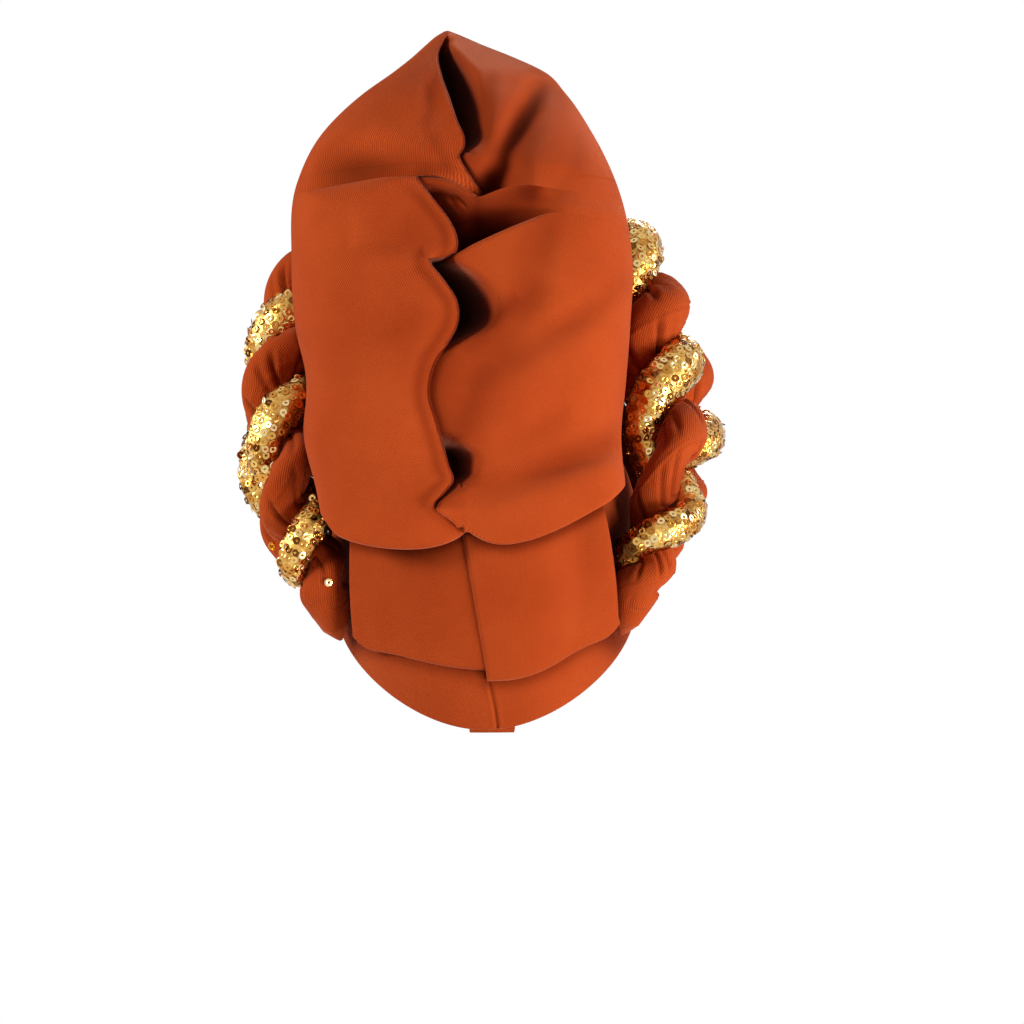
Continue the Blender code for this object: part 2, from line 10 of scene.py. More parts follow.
import bmesh
import bpy
import numpy as np
from bpy.props import FloatProperty, FloatVectorProperty, PointerProperty
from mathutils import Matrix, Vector

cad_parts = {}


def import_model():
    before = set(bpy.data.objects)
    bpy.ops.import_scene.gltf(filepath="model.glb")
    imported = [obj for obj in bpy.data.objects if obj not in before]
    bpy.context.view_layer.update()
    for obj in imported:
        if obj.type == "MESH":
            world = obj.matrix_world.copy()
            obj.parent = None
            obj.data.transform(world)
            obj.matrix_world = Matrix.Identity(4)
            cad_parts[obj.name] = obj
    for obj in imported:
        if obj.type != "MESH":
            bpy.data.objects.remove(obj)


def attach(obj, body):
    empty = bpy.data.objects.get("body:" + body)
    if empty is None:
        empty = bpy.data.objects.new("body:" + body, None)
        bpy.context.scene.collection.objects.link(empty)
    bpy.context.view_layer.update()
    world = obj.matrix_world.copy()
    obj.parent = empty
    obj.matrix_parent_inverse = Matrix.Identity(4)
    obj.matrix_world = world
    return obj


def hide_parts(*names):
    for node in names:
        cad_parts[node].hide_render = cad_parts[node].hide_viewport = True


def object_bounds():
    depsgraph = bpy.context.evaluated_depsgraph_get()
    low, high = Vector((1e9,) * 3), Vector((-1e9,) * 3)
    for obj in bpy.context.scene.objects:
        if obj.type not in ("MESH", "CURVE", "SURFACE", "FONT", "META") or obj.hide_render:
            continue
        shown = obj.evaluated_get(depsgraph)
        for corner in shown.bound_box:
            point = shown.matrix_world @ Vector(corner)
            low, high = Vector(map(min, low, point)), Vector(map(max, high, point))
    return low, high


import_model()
cad_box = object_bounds()

bl_info = {
    "name": "Turban Hat",
    "version": (1, 0, 0),
    "blender": (4, 5, 0),
    "location": "View3D > Sidebar > Hat",
    "description": "Makes a pre-tied satin turban hat with twisted sequin ropes",
    "category": "Add Mesh",
}

MM = 0.001
BODY = "root"

# Head hollow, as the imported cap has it: half its width and length, and its height over the widest level
HEAD_WIDTH = 75.0
HEAD_LENGTH = 96.0
HEAD_RISE = 90.0
# How much narrower and how far forward the head is at the nape, which lies this far below that level
NAPE_DROP = 90.0
NAPE_NARROWING = 17.0
NAPE_FORWARD = 24.0
NAPE_POWER = 1.6
# Height of the cap's rim in front, and how it drops to the nape
RIM_FRONT = -72.0
RIM_DROP = 104.0
RIM_POWER = 1.1
# The cap's outside over the head, and the half round of its rim
CAP_OUT = 2.0
CAP_RIM_ROUND = 1.0
CAP_RIM_STEPS = 6
CAP_COLUMNS = 120
CAP_SEAM_COLUMNS = 90
CAP_ROWS = 70
# How the cap's rows crowd towards its rim, and where the last one lies
CAP_ROW_POWER = 1.3
CAP_TOP_SHARE = 0.995

# Seam down the middle of the cap's back: how it runs and how deep and wide its groove is
CAP_SEAM = [
    # z, x
    (-180, 6.5),
    (-165, 4.5),
    (-148, 1),
    (-80, -2),
]
CAP_SEAM_DEPTH = 1.1
CAP_SEAM_WIDTH = 0.8
# Low ridges on both sides of the groove, in groove widths
CAP_SEAM_RIDGE = dict(rise=0.35, aside=2.6, reach=1.2)
# Half of the angle behind that has the fine columns for the seam
CAP_SEAM_ANGLE = 0.22

# Back panels: their hidden upper edge, and how far their outer edges lift off the cap, from which degree on
PANEL_TOP = -82.0
PANEL_LIFT = 6.0
PANEL_LIFT_FROM = 32.0
PANEL_THICKNESS = 2.6
PANEL_EDGE_ROUND = 2.0
# Each panel's inner and outer edge in degrees, its foot and how much its foot and head rise outwards
LEFT_PANEL = dict(inner_foot=9.0, inner_head=6.0, outer_foot=-52.5, outer_head=-50.0, foot=-148.0, rise=9.0,
                  head_rise=8.0, out=2.1)
RIGHT_PANEL = dict(inner_foot=1.0, inner_head=-7.5, outer_foot=53.0, outer_head=42.0, foot=-153.0, rise=20.0,
                   head_rise=20.0, out=2.1)
# Where the right panel steps up over the left one, and the degrees over which it comes down again
PANEL_STEP = 2.7
PANEL_STEP_OVER = 34.0
# How sharply the foot rises outwards
PANEL_RISE_POWER = 1.5
# The rounded outer corner at the foot: its rise, its shares of the width and the height, and its sharpness
PANEL_CORNER = dict(rise=8.0, wide=0.16, high=0.14, power=2.5)
# Width and height by which the edges' roundness is measured
PANEL_SIZE = (66.0, 60.0)
# The slight pull in the cloth: its height, its waves, and the size by which it fades at the edges
PANEL_PULL = dict(height=0.35, across=7.0, lean=3.0, up=5.0, start=1.0, size=(12.0, 12.0))
# How the points of panels and band crowd towards their edges
EDGE_CROWD = 0.13
PANEL_COLUMNS = 90
PANEL_ROWS = 80

# Hem ends under the nape: they hang below the rim and end in a round edge with a narrow fold in it
TAB_WIDTH = 28.0
TAB_MIDDLE = 4.5
TAB_HEIGHT = 9.0
TAB_SHOWS = 2.5
TAB_OUT = -1.6
TAB_ROUND = dict(rise=1.2, high=0.25)
TAB_WAVES = dict(height=0.5, count=9.0)
TAB_FOLD = dict(rise=0.9, across=0.12, reach=0.05, shows=0.3)
TAB_COLUMNS = 41
TAB_ROWS = 14

# Forehead band, from its end at the side to its middle in front
BAND_SECTIONS = [
    # angle, foot z, top x, top y, top z
    (99, -113, 78, 14, -70),
    (112, -100, 77, 26, -38),
    (135, -83, 61, 48, 6),
    (157, -76, 33, 56, 32),
    (180, -74, 0, 59, 41),
]
BAND_OUT = 4.8
BAND_THICKNESS = 1.6
# Soft folds along the band, which wander a little, and how high the edges' roundness is measured
BAND_FOLDS = dict(height=0.5, count=17.0, wander=1.2, swing=2.4, high=40.0)
BAND_HIGH = 90.0
BAND_LONG = 99.0
BAND_SPARE = 0.8
# How much the way out from the head rises for its folds
BAND_AWAY_RISE = 0.4
BAND_COLUMNS = 150
BAND_ROWS = 60

# Crown outline from behind, its back and front, and where it is widest
CROWN_SECTIONS = [
    # z, left x, right x, back y, front y, widest y
    (-92, -75, 70.5, -113, 44, -84),
    (-62, -80.5, 67.5, -115, 48, -80),
    (-36, -87, 65.5, -117, 52, -70),
    (-10, -86, 68, -118, 54, -62),
    (18, -92, 70.3, -116, 52, -56),
    (50, -94, 71.5, -108, 46, -52),
    (88, -91.5, 63.7, -96, 40, -46),
    (114, -78.3, 51.4, -80, 34, -40),
    (132.5, -59.8, 39.4, -65, 26, -34),
    (143.5, -45.6, 29.5, -54, 16, -28),
    (151.5, -36.5, 14, -42, 4, -23),
    (158.5, -29.5, -2, -31, -7, -19),
    (163, -24.5, -11.5, -23, -12, -17.5),
    (165.4, -20.6, -17.4, -18.6, -16.4, -17.5),
]
# How square the crown's plan is behind and how pointed in front
CROWN_BACK_POWER = 2.2
CROWN_FRONT_POWER = 1.6
# Below this height the rows spread down to the hem
CROWN_FREE_Z = 50.0
CROWN_OUT = 4.4
PEAK_RISE = 0.4
# How far forward of the back the lines, the hem's tuck and the shadows fade out
BEHIND_OVER = dict(lines=15.0, tuck=20.0, shade=25.0)

# Soft shadows painted beside the panels' edges and below the crown's hem
EDGE_SHADE = dict(most=0.6, reach=4.2)
HEM_SHADE = dict(most=0.75, reach=4.0, front=-20.0)

# Crown hem: its lowest edge behind, then how it climbs over the head in front
HEM_Z = -92.0
HEM_BACK = [
    # x, z
    (-82, -70),
    (-76.6, -77),
    (-72, -83),
    (-66.7, -85.8),
    (-58, -88.2),
    (-47, -89.8),
    (-36, -90.2),
    (-27, -89.4),
    (-18.4, -87.2),
    (-12.9, -84.8),
    (-8, -82),
    (-4.8, -83.6),
    (0, -86),
    (8, -87.8),
    (21, -86.2),
    (36.5, -80.6),
    (51.9, -72.6),
    (62, -66.4),
    (68, -60),
    (72, -52),
]
HEM_TUCK = 1.5
HEM_TUCK_HEIGHT = 12.0
HEM_ROLL = 2.2
HEM_ROLL_STEPS = 7
HEM_TURN_UP = 6.0
HEM_FRONT = [
    # y, z
    (-62, -46),
    (-30, -30),
    (0, -16),
    (44, -4),
]

# Free edge of the left half: above the eave, beside the shelf, and below the crest
UPPER_LIP = [
    # z, x
    (76.7, -3),
    (79, -1.6),
    (84, -4.5),
    (91.4, -9.3),
    (97.5, -11.7),
    (101.5, -9.6),
    (105.6, -9.4),
    (115, -13),
    (127.5, -17),
    (140, -21),
    (153.5, -22.7),
    (160, -20.5),
    (164, -18.5),
]
SHELF_LIP = [
    # z, x
    (46.5, -15),
    (48.9, -13.6),
    (52, -12.5),
    (57, -12.7),
    (64.7, -15.9),
    (70, -19.5),
    (75, -23.4),
    (80, -27.3),
    (84, -30.4),
    (87, -32),
]
LOWER_LIP = [
    # z, x
    (-92, -5.5),
    (-88, -6),
    (-82.2, -8),
    (-76.5, -15.5),
    (-71, -23),
    (-68.5, -22.6),
    (-63.6, -18.5),
    (-58.2, -14.4),
    (-50, -16.6),
    (-38, -19.8),
    (-28.5, -22.6),
    (-19, -25.4),
    (-10, -25),
    (-1.3, -22),
    (7, -16.5),
    (14, -12.8),
    (23, -11.8),
    (27.6, -12.9),
    (33, -16.2),
    (39.1, -20.6),
    (43.5, -24.2),
    (47.5, -25.6),
]
# The free edge is rolled, bends in towards the roll and has a bead along it
LIP_ROLL = 1.9
LIP_UNDERCUT = 4.0
LIP_BEND = dict(depth=3.4, reach=6.0)
LIP_BEAD = dict(rise=1.4, reach=2.0)
# Painted shadows inside the bead and cast by the edge on the right half, and the nip, where the left half
# rolls under above the crest, with painted shade beneath it
LIP_SHADE = dict(most=0.4, middle=5.2, reach=2.8, top=84.0, over=10.0)
LIP_CAST = dict(most=0.85, reach=3.6, soft=0.4, soft_reach=15.0, top=158.0)
NIP_SHADE = 0.5
NIP_ROLL = dict(radius=5.0, first=-26.0, last=-20.0, reach=9.0, over=4.0)
# The top of the free edge, and the heights over which it fades out
LIP_END_Z = 164.0
LIP_END_OVER = 8.0
RIGHT_END_OVER = 6.0
# The right half's step down beside the free edge, and how far across the step fades
LIP_STEP = 4.5
LIP_STEP_FADE = 45.0
LIP_STEP_GROWTH = 30.0
FOOT_STEP_FADE = 2.0
TOP_STEP_FADE = 18.0
# Below this height the right half lies over the left one
LIP_TURN_Z = -69.5
LIP_TURN_STEP = 4.5
LIP_TURN_OVER = 2.5
LIP_TURN_REACH = 9.0
TURNED_ROUND = 2.0

# The eave and the crest cross the back. Below each, the cloth stands in front of the cloth above
EAVE_Z = 80.0
EAVE = [
    # x, z
    (-96, 80),
    (-80, 82.5),
    (-64, 85),
    (-32, 87.2),
    (-24.8, 87),
    (-15.4, 84.6),
    (-7.3, 79.8),
    (-3, 77.2),
    (2, 78.6),
    (7, 80.6),
    (12, 82),
    (20, 82.6),
    (31, 81.5),
    (44, 80),
    (80, 80),
]
CREST_Z = 60.0
CREST = [
    # x, z
    (-96, 60),
    (-60, 57),
    (-40, 50.5),
    (-26, 47),
    (-20, 47),
    (-15.1, 48.9),
    (-4.2, 54.5),
    (6.7, 59.6),
    (19.5, 65.2),
    (29.2, 69),
    (38, 70),
    (52, 68),
    (80, 64),
]
EAVE_REACH = 14.0
CREST_REACH = 17.0
# How far the cloth above the eave sinks towards it
SINK = [
    # x, depth, height over which it sinks
    (-92, 0, 16),
    (-76, 9, 28),
    (-58, 12.5, 30),
    (-44, 9.5, 26),
    (-32, 5.5, 18),
    (-20, 4.5, 13),
    (-6, 7.5, 14),
    (4, 9.5, 18),
    (14, 6, 20),
    (24, 0, 18),
]
# The shelf below the eave: its upper edge, how deep that is, and how deep its foot is
SHELF = [
    # x, upper edge z, depth at the edge, depth at the foot
    (-33, 84, 9, 9),
    (-28, 77, 14, 20),
    (-22, 73.4, 14, 26),
    (-17, 72.4, 11, 27),
    (-12.8, 73.7, 4.5, 27),
    (-4.9, 76.6, 2.6, 25),
    (0, 79, 2.2, 22),
    (12, 83, 1.6, 17),
    (20, 84, 0.8, 12),
    (27, 84, 0.4, 6),
    (33, 84, 0, 1.5),
    (37, 84, 0, 0),
]
SHELF_SLOPE = 0.8
SHELF_EDGE = dict(round=1.3, x=22.0, over=10.0)
SHELF_END = dict(x=15.0, over=8.0, high=7.0)
SHELF_DIMPLE = dict(x=25.0, z=75.6, rise=-1.4, wide=6.5, high=5.0)
# The tucked flap between the beak and the shelf: a roll, a hollow and a small fold in it
FLAP_END = dict(x=-4.0, over=2.5)
FLAP_ROLL = dict(high=6.0, top=2.0, least=0.4, fall=4.6)
FLAP_HOLLOW = 10.5
FLAP_FOLD = dict(x=-17.5, z=75.6, rise=6.0, wide=5.0, high=2.4)
# Roundness of the upper edges of the cloth below each line
EDGE_ROUND = 3.0
CREST_ROUND = 2.6
CREST_FADE_X = 33.0
CREST_FADE_OVER = 12.0
# Where the eave's edge starts on the left, and where it turns from soft to sharp
EAVE_START = dict(x=-94.0, over=16.0)
EAVE_SHARP = dict(x=-72.0, over=34.0)
# The two lines' sharp edges: the zone that starts there, and from which x to which x they run
SHARP_LINES = [
    (1.5, -30.0, 17.0),
    (0.5, -26.0, 27.0),
]

# Hollows in the right half beside the free edge: above the eave, and below the crest
TOP_HOLLOW = [
    # z, width, depth
    (76, 3, 1),
    (84, 4, 2),
    (94, 4, 2),
    (98, 4, 3),
    (100.6, 8, 10),
    (104.7, 13, 24),
    (114, 20, 38),
    (125.5, 25, 42),
    (136, 26, 40),
    (143, 23, 34),
    (152, 15, 20),
    (158, 7, 6),
    (162, 3, 0),
]
MIDDLE_HOLLOW = [
    # z, width, depth
    (2, 1, 0),
    (5, 4, 3),
    (7.5, 9, 10),
    (10.5, 15, 22),
    (14, 21.5, 34),
    (18.5, 25.5, 42),
    (23, 27, 44),
    (28, 27, 44),
    (33, 27, 44),
    (38, 26, 42),
    (42, 22.5, 38),
    (46.5, 17, 30),
    (52, 15, 26),
    (60, 15, 24),
]
LOWER_HOLLOW = [
    # z, width, depth
    (-61, 2, 0),
    (-58.4, 7, 8),
    (-55.5, 13.5, 20),
    (-50.5, 19.5, 27),
    (-45, 21.5, 25),
    (-41, 16, 12),
    (-37.5, 11, 4),
    (-34, 9, 0),
]
HOLLOW_POWER = 2.0
# Depths at which painted shade starts to darken the cloth and is darkest, and the same on the shelf
SHADE_FROM = 4.0
SHADE_TO = 24.0
SHELF_SHADE_FROM = 0.0
SHELF_SHADE_TO = 19.0
# How early the soft valleys rise from their ends
VALLEY_ENDS = 0.6

# Soft valleys along lines, each with its depth and its reach to the left and to the right
TOP_VALLEYS = [
    # x, z, end x, end z, depth, reach left, reach right
    (29.5, 142, -6, 70, 12, 6, 9.5),
    (2, 150, 0, 96, 2.4, 3.5, 4.5),
]
RIGHT_VALLEYS = [
    # x, z, end x, end z, depth, reach left, reach right
    (36, 92, 22, 24, 3.6, 8, 7),
    (28, 40, -4, -14, 3.4, 7, 8),
    (86, -32, -8, -67, 6.4, 8, 6),
    (40, -24, 4, -40, 2.8, 8, 7),
    (66, 34, 6, -6, 3.4, 7, 7),
]
LEFT_VALLEYS = [
    # x, z, end x, end z, depth, reach left, reach right
    (-22, 148, -30, 112, 2.2, 4, 4),
    (-34, 146, -9, 88, 2.6, 6, 4.5),
    (-50, 128, -20, 92, 1.5, 8, 8),
    (-90, 12, -36, -4, 1.8, 12, 12),
    (-18, 56, -64, 55, 3.4, 12, 6),
    (-30, 20, -64, 8, 2, 8, 8),
    (-80, -58, -40, -66, 1.5, 9, 9),
]
# Soft shadows painted into the folds: above the eave, and below it on the right and on the left
TOP_SHADES = [
    # x, z, end x, end z, share, reach left, reach right
    (-84, 94, -24, 90, 0.36, 8, 9),
    (29, 142, -6, 70, 0.45, 5.5, 6.5),
    (24, 116, 20, 82, 0.3, 6, 9),
    (-12, 90, -34, 89, 0.4, 5, 3),
    (3, 144, -1, 98, 0.26, 6, 5),
    (-21, 146, -29, 112, 0.22, 2.6, 3.4),
    (-30, 116, -14, 86, 0.24, 3, 3.4),
    (18, 126, 14, 96, 0.16, 4, 4),
    (46, 118, 44, 86, 0.16, 3, 6),
]
RIGHT_SHADES = [
    # x, z, end x, end z, share, reach left, reach right
    (33, 98, 17, 16, 0.36, 9, 8),
    (24, 40, -8, -16, 0.3, 7, 8),
    (16, 30, -10, 2, 0.4, 5, 5),
    (84, 48, 2, -8, 0.26, 6, 6),
    (96, -26, -8, -66, 0.44, 8.5, 4.5),
    (2, -2, -14, -44, 0.36, 6, 9),
    (52, 92, 46, 60, 0.14, 5, 5),
]
SHELF_SHADES = [
    # x, z, end x, end z, share, reach left, reach right
    (27, 90, 19, 68, 0.5, 9, 4.5),
    (46, 84, -26, 74, 0.42, 7, 7),
]
LEFT_SHADES = [
    # x, z, end x, end z, share, reach left, reach right
    (-16, 58, -60, 57, 0.24, 14, 6),
    (-22, 20, -66, 14, 0.14, 9, 9),
    (-34, 84, -36, 52, 0.1, 5, 12),
    (-20, -44, -36, -76, 0.12, 7, 7),
]

# Crown mesh: columns of each part, and the spacing of its rows
CROWN_COLUMNS = dict(roll=9, wall=6, right=110, front=60, left=84)
FOLD_X = -19.0
COLUMN_PULL = 5.0
ROW_SPACE = 1.55
ROW_SPACE_FINE = 0.45
FINE_REACH = 7.0
# The thin step of the cloth at each of the two lines
LINE_GAP = 0.3
LINE_ROWS = 12
# How often heights and places are worked out in turn until they agree
SETTLE_ROUNDS = 8
# The free edge's roll grows over this depth. Columns crowd towards the fold, and the folds fade at the sides
ROLL_OVER = 3.0
RIGHT_CROWD = (0.45, 0.55)
LEFT_CROWD = (1.5, -0.5)
RIGHT_FADE = 0.2
LEFT_FADE = 0.15
# Slow unevenness of the stretched cloth: the heights of its two parts, and its waves' lengths across and up
SOFT_WAVES = (0.35, 0.2)
SOFT_LENGTHS = [(11.0, 23.0), (31.0, 17.0), (7.0, 9.0)]

# Ropes: each strand's distance from the rope's middle, its half widths outwards and sideways at the full
# radius, and its mesh's sides and rings a turn
ROPE_RADIUS = 23.0
SATIN = dict(off=9.6, radial=13.6, aside=13.2, sides=60, rings=150)
GOLD = dict(off=12.6, radial=10.4, aside=10.8, sides=44, rings=64)
ROUTE_STEPS = 12
# Turns by which the gold strand is shorter, and over which the satin one then fills the whole rope
GOLD_SHORT = 0.55
ALONE_OVER = 0.3
# Turns over which a strand tapers and the share of its size at the tip, squared
STRAND_TIP = 0.12
STRAND_TIP_LEAST = 0.04
# A strand's least and most swelling, and the space that gives it its plain width
STRAND_SWELL = (0.8, 1.08)
STRAND_SPACE = 22.0
# Space that other cloth keeps to a rope
ROPE_KEEP_OUT = 4.0
REAR_ROPE = [
    # x, y, z, radius, turns
    (-70.5, -43, -135, 4.5, -1),
    (-77.2, -48, -115, 11.3, -0.62),
    (-86.3, -51, -90, 17.4, -0.09),
    (-92.8, -46, -62, 19.2, 0.42),
    (-97.5, -32, -38, 20.5, 0.85),
    (-98.5, -14, -12, 22.5, 1.27),
    (-97, 4, 10, 23, 1.75),
    (-88.5, 20, 37, 23, 2.25),
    (-68.5, 36, 64, 23, 2.80),
    (-36, 48, 79, 23, 3.35),
    (0, 53, 85, 23, 3.85),
    (38, 46, 79, 23, 4.28),
    (66, 30, 57, 23, 4.72),
    (79.5, 15, 32, 22.5, 5.20),
    (85, 0, 6, 22.5, 5.68),
    (88, -16, -18, 22.3, 6.03),
    (89, -36, -43, 19, 6.38),
    (89.5, -50, -68, 18.5, 6.72),
    (79, -58, -90, 17, 7.10),
    (72.5, -55.5, -111, 11.8, 7.60),
    (66, -51, -132, 4.5, 8),
]
FRONT_ROPE = [
    # x, y, z, radius, turns
    (-85, -18, -112, 4, -0.3),
    (-91, -14, -98, 9, 0),
    (-97.5, -8, -81, 15, 0.32),
    (-102, 4.3, -60, 20.5, 0.66),
    (-102, 27, -35, 23, 0.99),
    (-97, 46, -9, 23, 1.36),
    (-82, 63, 15, 23, 1.82),
    (-58, 76, 34, 23, 2.4),
    (-29, 84, 47, 23, 2.9),
    (0, 86, 52, 23, 3.4),
    (29, 84, 47, 23, 3.9),
    (58, 76, 34, 23, 4.4),
    (82, 63, 15, 23, 4.91),
    (95, 46, -9, 23, 5.31),
    (99, 27, -35, 21.5, 5.76),
    (95, 7, -60, 16.5, 6.22),
    (91.5, -8, -79, 12, 6.6),
    (87, -14, -92, 8.5, 6.9),
    (83, -18, -104, 4, 7.2),
]
# Each rope's route and what sets its pleats apart
ROPES = dict(rear_rope=(REAR_ROPE, 0.0), front_rope=(FRONT_ROPE, 2.3))
# Unevenness of the gold strands
GOLD_WAVES = dict(height=0.4, round=5.0, twist=40.0, along=23.0)
# Satin strand's pleats: sharp valleys along the rope between round ridges, with painted shade in the valleys
PLEATS = dict(count=15, wander=0.12, waves=0.83, phase=1.3, depth=1.7, width=0.16, swell=0.8, shade=0.7,
              first=0.1, last=0.9, alone=0.6)
# The least distance from a rope's middle that counts where the angle round the rope is worked out
PLEAT_LEAST_AWAY = 4.0
# How strong each pleat is: a middle value, and how much it changes from one pleat to the next
PLEAT_STRENGTH = dict(middle=0.45, change=0.75, turn=2.4)
# Painted soft shadows of a strand's neighbours, of the crown on the ropes, and of the rear rope on the cap
STRAND_SHADE = dict(most=0.26, first=1.05, last=1.8)
CROWN_SHADE = dict(most=0.85, reach=3.0, behind=6.0)
ROPE_SHADE = dict(most=0.85, reach=7.0, first=-45.0, last=0.0)
# The piped seam of a satin strand: its place and drift round it, and how it stands out
PIPING = dict(place=0.45, drift=0.9, waves=0.8, height=0.6, width=0.075, puckers=24.0, pucker=0.25,
              groove=0.5)

# Sequins: a ring with a small hole, dished a little
SEQUIN_SIDES = 12
SEQUIN_PROFILE = [
    # radius share, height share
    (0.32, 0.02),
    (0.62, 0.12),
    (1, 0),
]
# How far round a strand they reach to each side, in radians, and the space from row to row
SEQUIN_REACH = 2.15
SEQUIN_ROW_SPACE = 0.86
# How far a sequin strays round the strand: in sequins, and in radians
SEQUIN_DRIFT = (0.22, 0.05)
# Least height above the cloth and what chance adds to it
SEQUIN_LIFT = (0.35, 0.3)
SEQUIN_LEAN = (0.31, 0.2, 0.93)
SEQUIN_SEED = 7
# Loose sequins beside the gold strands, and the way that they face
LOOSE_SEQUINS = dict(
    rear_rope=[(-103.6, -52.0, -89.0), (-75.5, -64.0, -106.5)],
    front_rope=[(-123.0, 4.0, -44.0)],
)
LOOSE_FACING = (0.2, -1.0, 0.1)
# Sequin colours: place on the tone scale and shares of the gold colour, then the brightest tone
# The dark, white and brightest tones are painted reflections and glints on top of the metal's own
SEQUIN_TONES = [
    (0, (0.12, 0.05, 0.03)),
    (0.1, (0.35, 0.2, 0.12)),
    (0.24, (0.8, 0.55, 0.35)),
    (0.6, (1, 1, 1)),
]
SEQUIN_GLINT = (1.0, 0.78, 0.38)

# Painted light: how bright each piece's copy of the satin is, to suit the light that falls on it
SATIN_PAINTED_LIGHT = dict(crown=1.0, cap=0.9, rope=0.95)
# Satin: colour shares along the mottling, its threads, and the painted shade in folds and beside other pieces
SATIN_TONES = [
    (0.3, (0.9, 0.84, 0.8)),
    (0.7, (1.06, 1.1, 1.1)),
]
SATIN_MOTTLE = (22.0, 3.0)
SATIN_GRAIN = 1400.0
SATIN_ROUGH_SPREAD = (-0.05, 0.06)
# Strength and distance of the bumps
SATIN_BUMP = (0.6, 0.0004)
GOLD_BUMP = (0.8, 0.0008)
TWILL_LINES = 0.628 / math.sqrt(2.0)
TWILL_WAVE = {"Distortion": 1.6, "Detail": 1.0, "Detail Scale": 1.4}
THREAD_TINT = (0.66, 0.50, 0.42, 1.0)
# Colour shares of the satin's painted shade, and its roughness there
PAINTED_SHADE_SATIN = (0.2, 0.1, 0.1)
PAINTED_SHADE_ROUGHNESS = 0.95
# Gold cloth: colour shares along its crumples, and the painted shade where other pieces shade it
GOLD_TONES = [
    (0.35, (0.6, 0.5, 0.4)),
    (0.65, (1, 1, 1)),
]
GOLD_CRUMPLE = (420.0, 3.0)
PAINTED_SHADE_GOLD = (0.05, 0.012, 0.003, 1.0)

# Camera at the photograph's place, and the stage
CAMERA_PLACE = (0.013, -1.8, -0.0725)
CAMERA_LENS = 126.56
CAMERA_SENSOR = 36.0
FLOOR_SIZE = 2.6
FLOOR_COLOUR = (0.86, 0.86, 0.86)
# Shares of the floor's size at which it starts to fade and is gone
FLOOR_FADE = (0.2, 0.48)
WORLD_COLOUR = (1.0, 1.0, 1.0, 1.0)
WORLD_STRENGTH = 0.2
WORLD_SHINE = 0.55
LIGHTS = [
    # name, place, size, share of the power
    ("left_softbox", (-1.85, -0.9, 0.65), 0.7, 1.3),
    ("right_softbox", (1.8, -0.95, 0.25), 0.7, 0.7),
    ("low_softbox", (1.5, -1.3, -0.75), 0.8, 1.35),
    ("front_softbox", (0.3, 2.3, 0.9), 0.9, 0.5),
    ("left_rim_light", (-2.2, 0.5, 0.5), 0.9, 0.4),
    ("right_rim_light", (2.2, 0.3, 0.5), 0.9, 0.3),
]


def ease(value):
    """0 below 0, 1 above 1, and a smooth rise between."""
    value = np.clip(value, 0.0, 1.0)
    return value * value * (3.0 - 2.0 * value)


def between(low, high, share):
    """From low at share 0 to high at share 1."""
    return low + (high - low) * share


def rising(value, span):
    """0 at a span's first value and 1 at its last, with a smooth rise between."""
    return ease((value - span["first"]) / (span["last"] - span["first"]))


def past(edge, x):
    """0 up to an edge and 1 well beyond it."""
    return ease((x - edge["x"]) / edge["over"])


def before(edge, x):
    """1 well before an edge and 0 beyond it."""
    return ease((edge["x"] - x) / edge["over"])


def fading(distance, reach):
    """1 at a distance of 0, falling smoothly to almost 0 at twice the reach."""
    return np.exp(-(distance / reach)**2)


def shadow(shade, distance):
    """How dark a soft shadow is at a distance."""
    return shade["most"] * fading(distance, shade["reach"])


def together(*shades):
    """Shades that fall on the same cloth, as one."""
    light = 1.0
    for shade in shades:
        light = light * (1.0 - shade)
    return 1.0 - light


def spline(rows, value, column=1):
    """A smooth curve through a table's rows, whose first column rises."""
    table = np.array(rows, float)
    xs, ys = table[:, 0], table[:, column]
    slope = np.gradient(ys, xs)
    x = np.clip(value, xs[0], xs[-1])
    i = np.clip(np.searchsorted(xs, x, side="right") - 1, 0, len(xs) - 2)
    step = xs[i + 1] - xs[i]
    f = (x - xs[i]) / step
    ends = ys[i] * (2 * f**3 - 3 * f**2 + 1) + ys[i + 1] * (3 * f**2 - 2 * f**3)
    return ends + step * (slope[i] * (f**3 - 2 * f**2 + f) + slope[i + 1] * (f**3 - f**2))


def smooth_rows(rows, steps):
    """Rows at fractional steps of a table, on a smooth curve through all its rows."""
    table = np.array(rows, float)
    last = len(table) - 1
    i = np.clip(steps.astype(int), 0, last - 1)
    f = (steps - i)[:, None]
    p, q, r, s = table[np.maximum(i - 1, 0)], table[i], table[i + 1], table[np.minimum(i + 2, last)]
    return 0.5 * (2 * q + (r - p) * f + (2 * p - 5 * q + 4 * r - s) * f**2 + (3 * q - p - 3 * r + s) * f**3)


def unit(vectors):
    """Vectors of the same directions, each of length 1."""
    return vectors / np.maximum(np.linalg.norm(vectors, axis=-1, keepdims=True), 1e-9)


def grid_faces(rows, columns, ring):
    """Quads of a grid of points that are numbered row by row."""
    across = columns if ring else columns - 1
    i, j = np.meshgrid(np.arange(rows - 1), np.arange(across), indexing="ij")
    here, beside = i * columns + j, i * columns + (j + 1) % columns
    return np.stack([here, beside, beside + columns, here + columns], -1).reshape(-1, 4)


def make_piece(name, points, faces, material, replaced=()):
    """A smooth mesh piece from points in millimetres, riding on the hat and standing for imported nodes."""
    mesh = bpy.data.meshes.new(name)
    mesh.from_pydata((np.asarray(points) * MM).tolist(), [], [list(map(int, face)) for face in faces])
    mesh.shade_smooth()
    mesh.materials.append(material)
    piece = bpy.data.objects.new(name, mesh)
    bpy.context.scene.collection.objects.link(piece)
    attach(piece, BODY)
    if replaced:
        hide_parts(*replaced)
    return piece


def note_points(piece, name, kind, key, values):
    """Notes a value for each point of a piece."""
    attribute = piece.data.attributes.new(name, kind, "POINT")
    attribute.data.foreach_set(key, values.ravel())


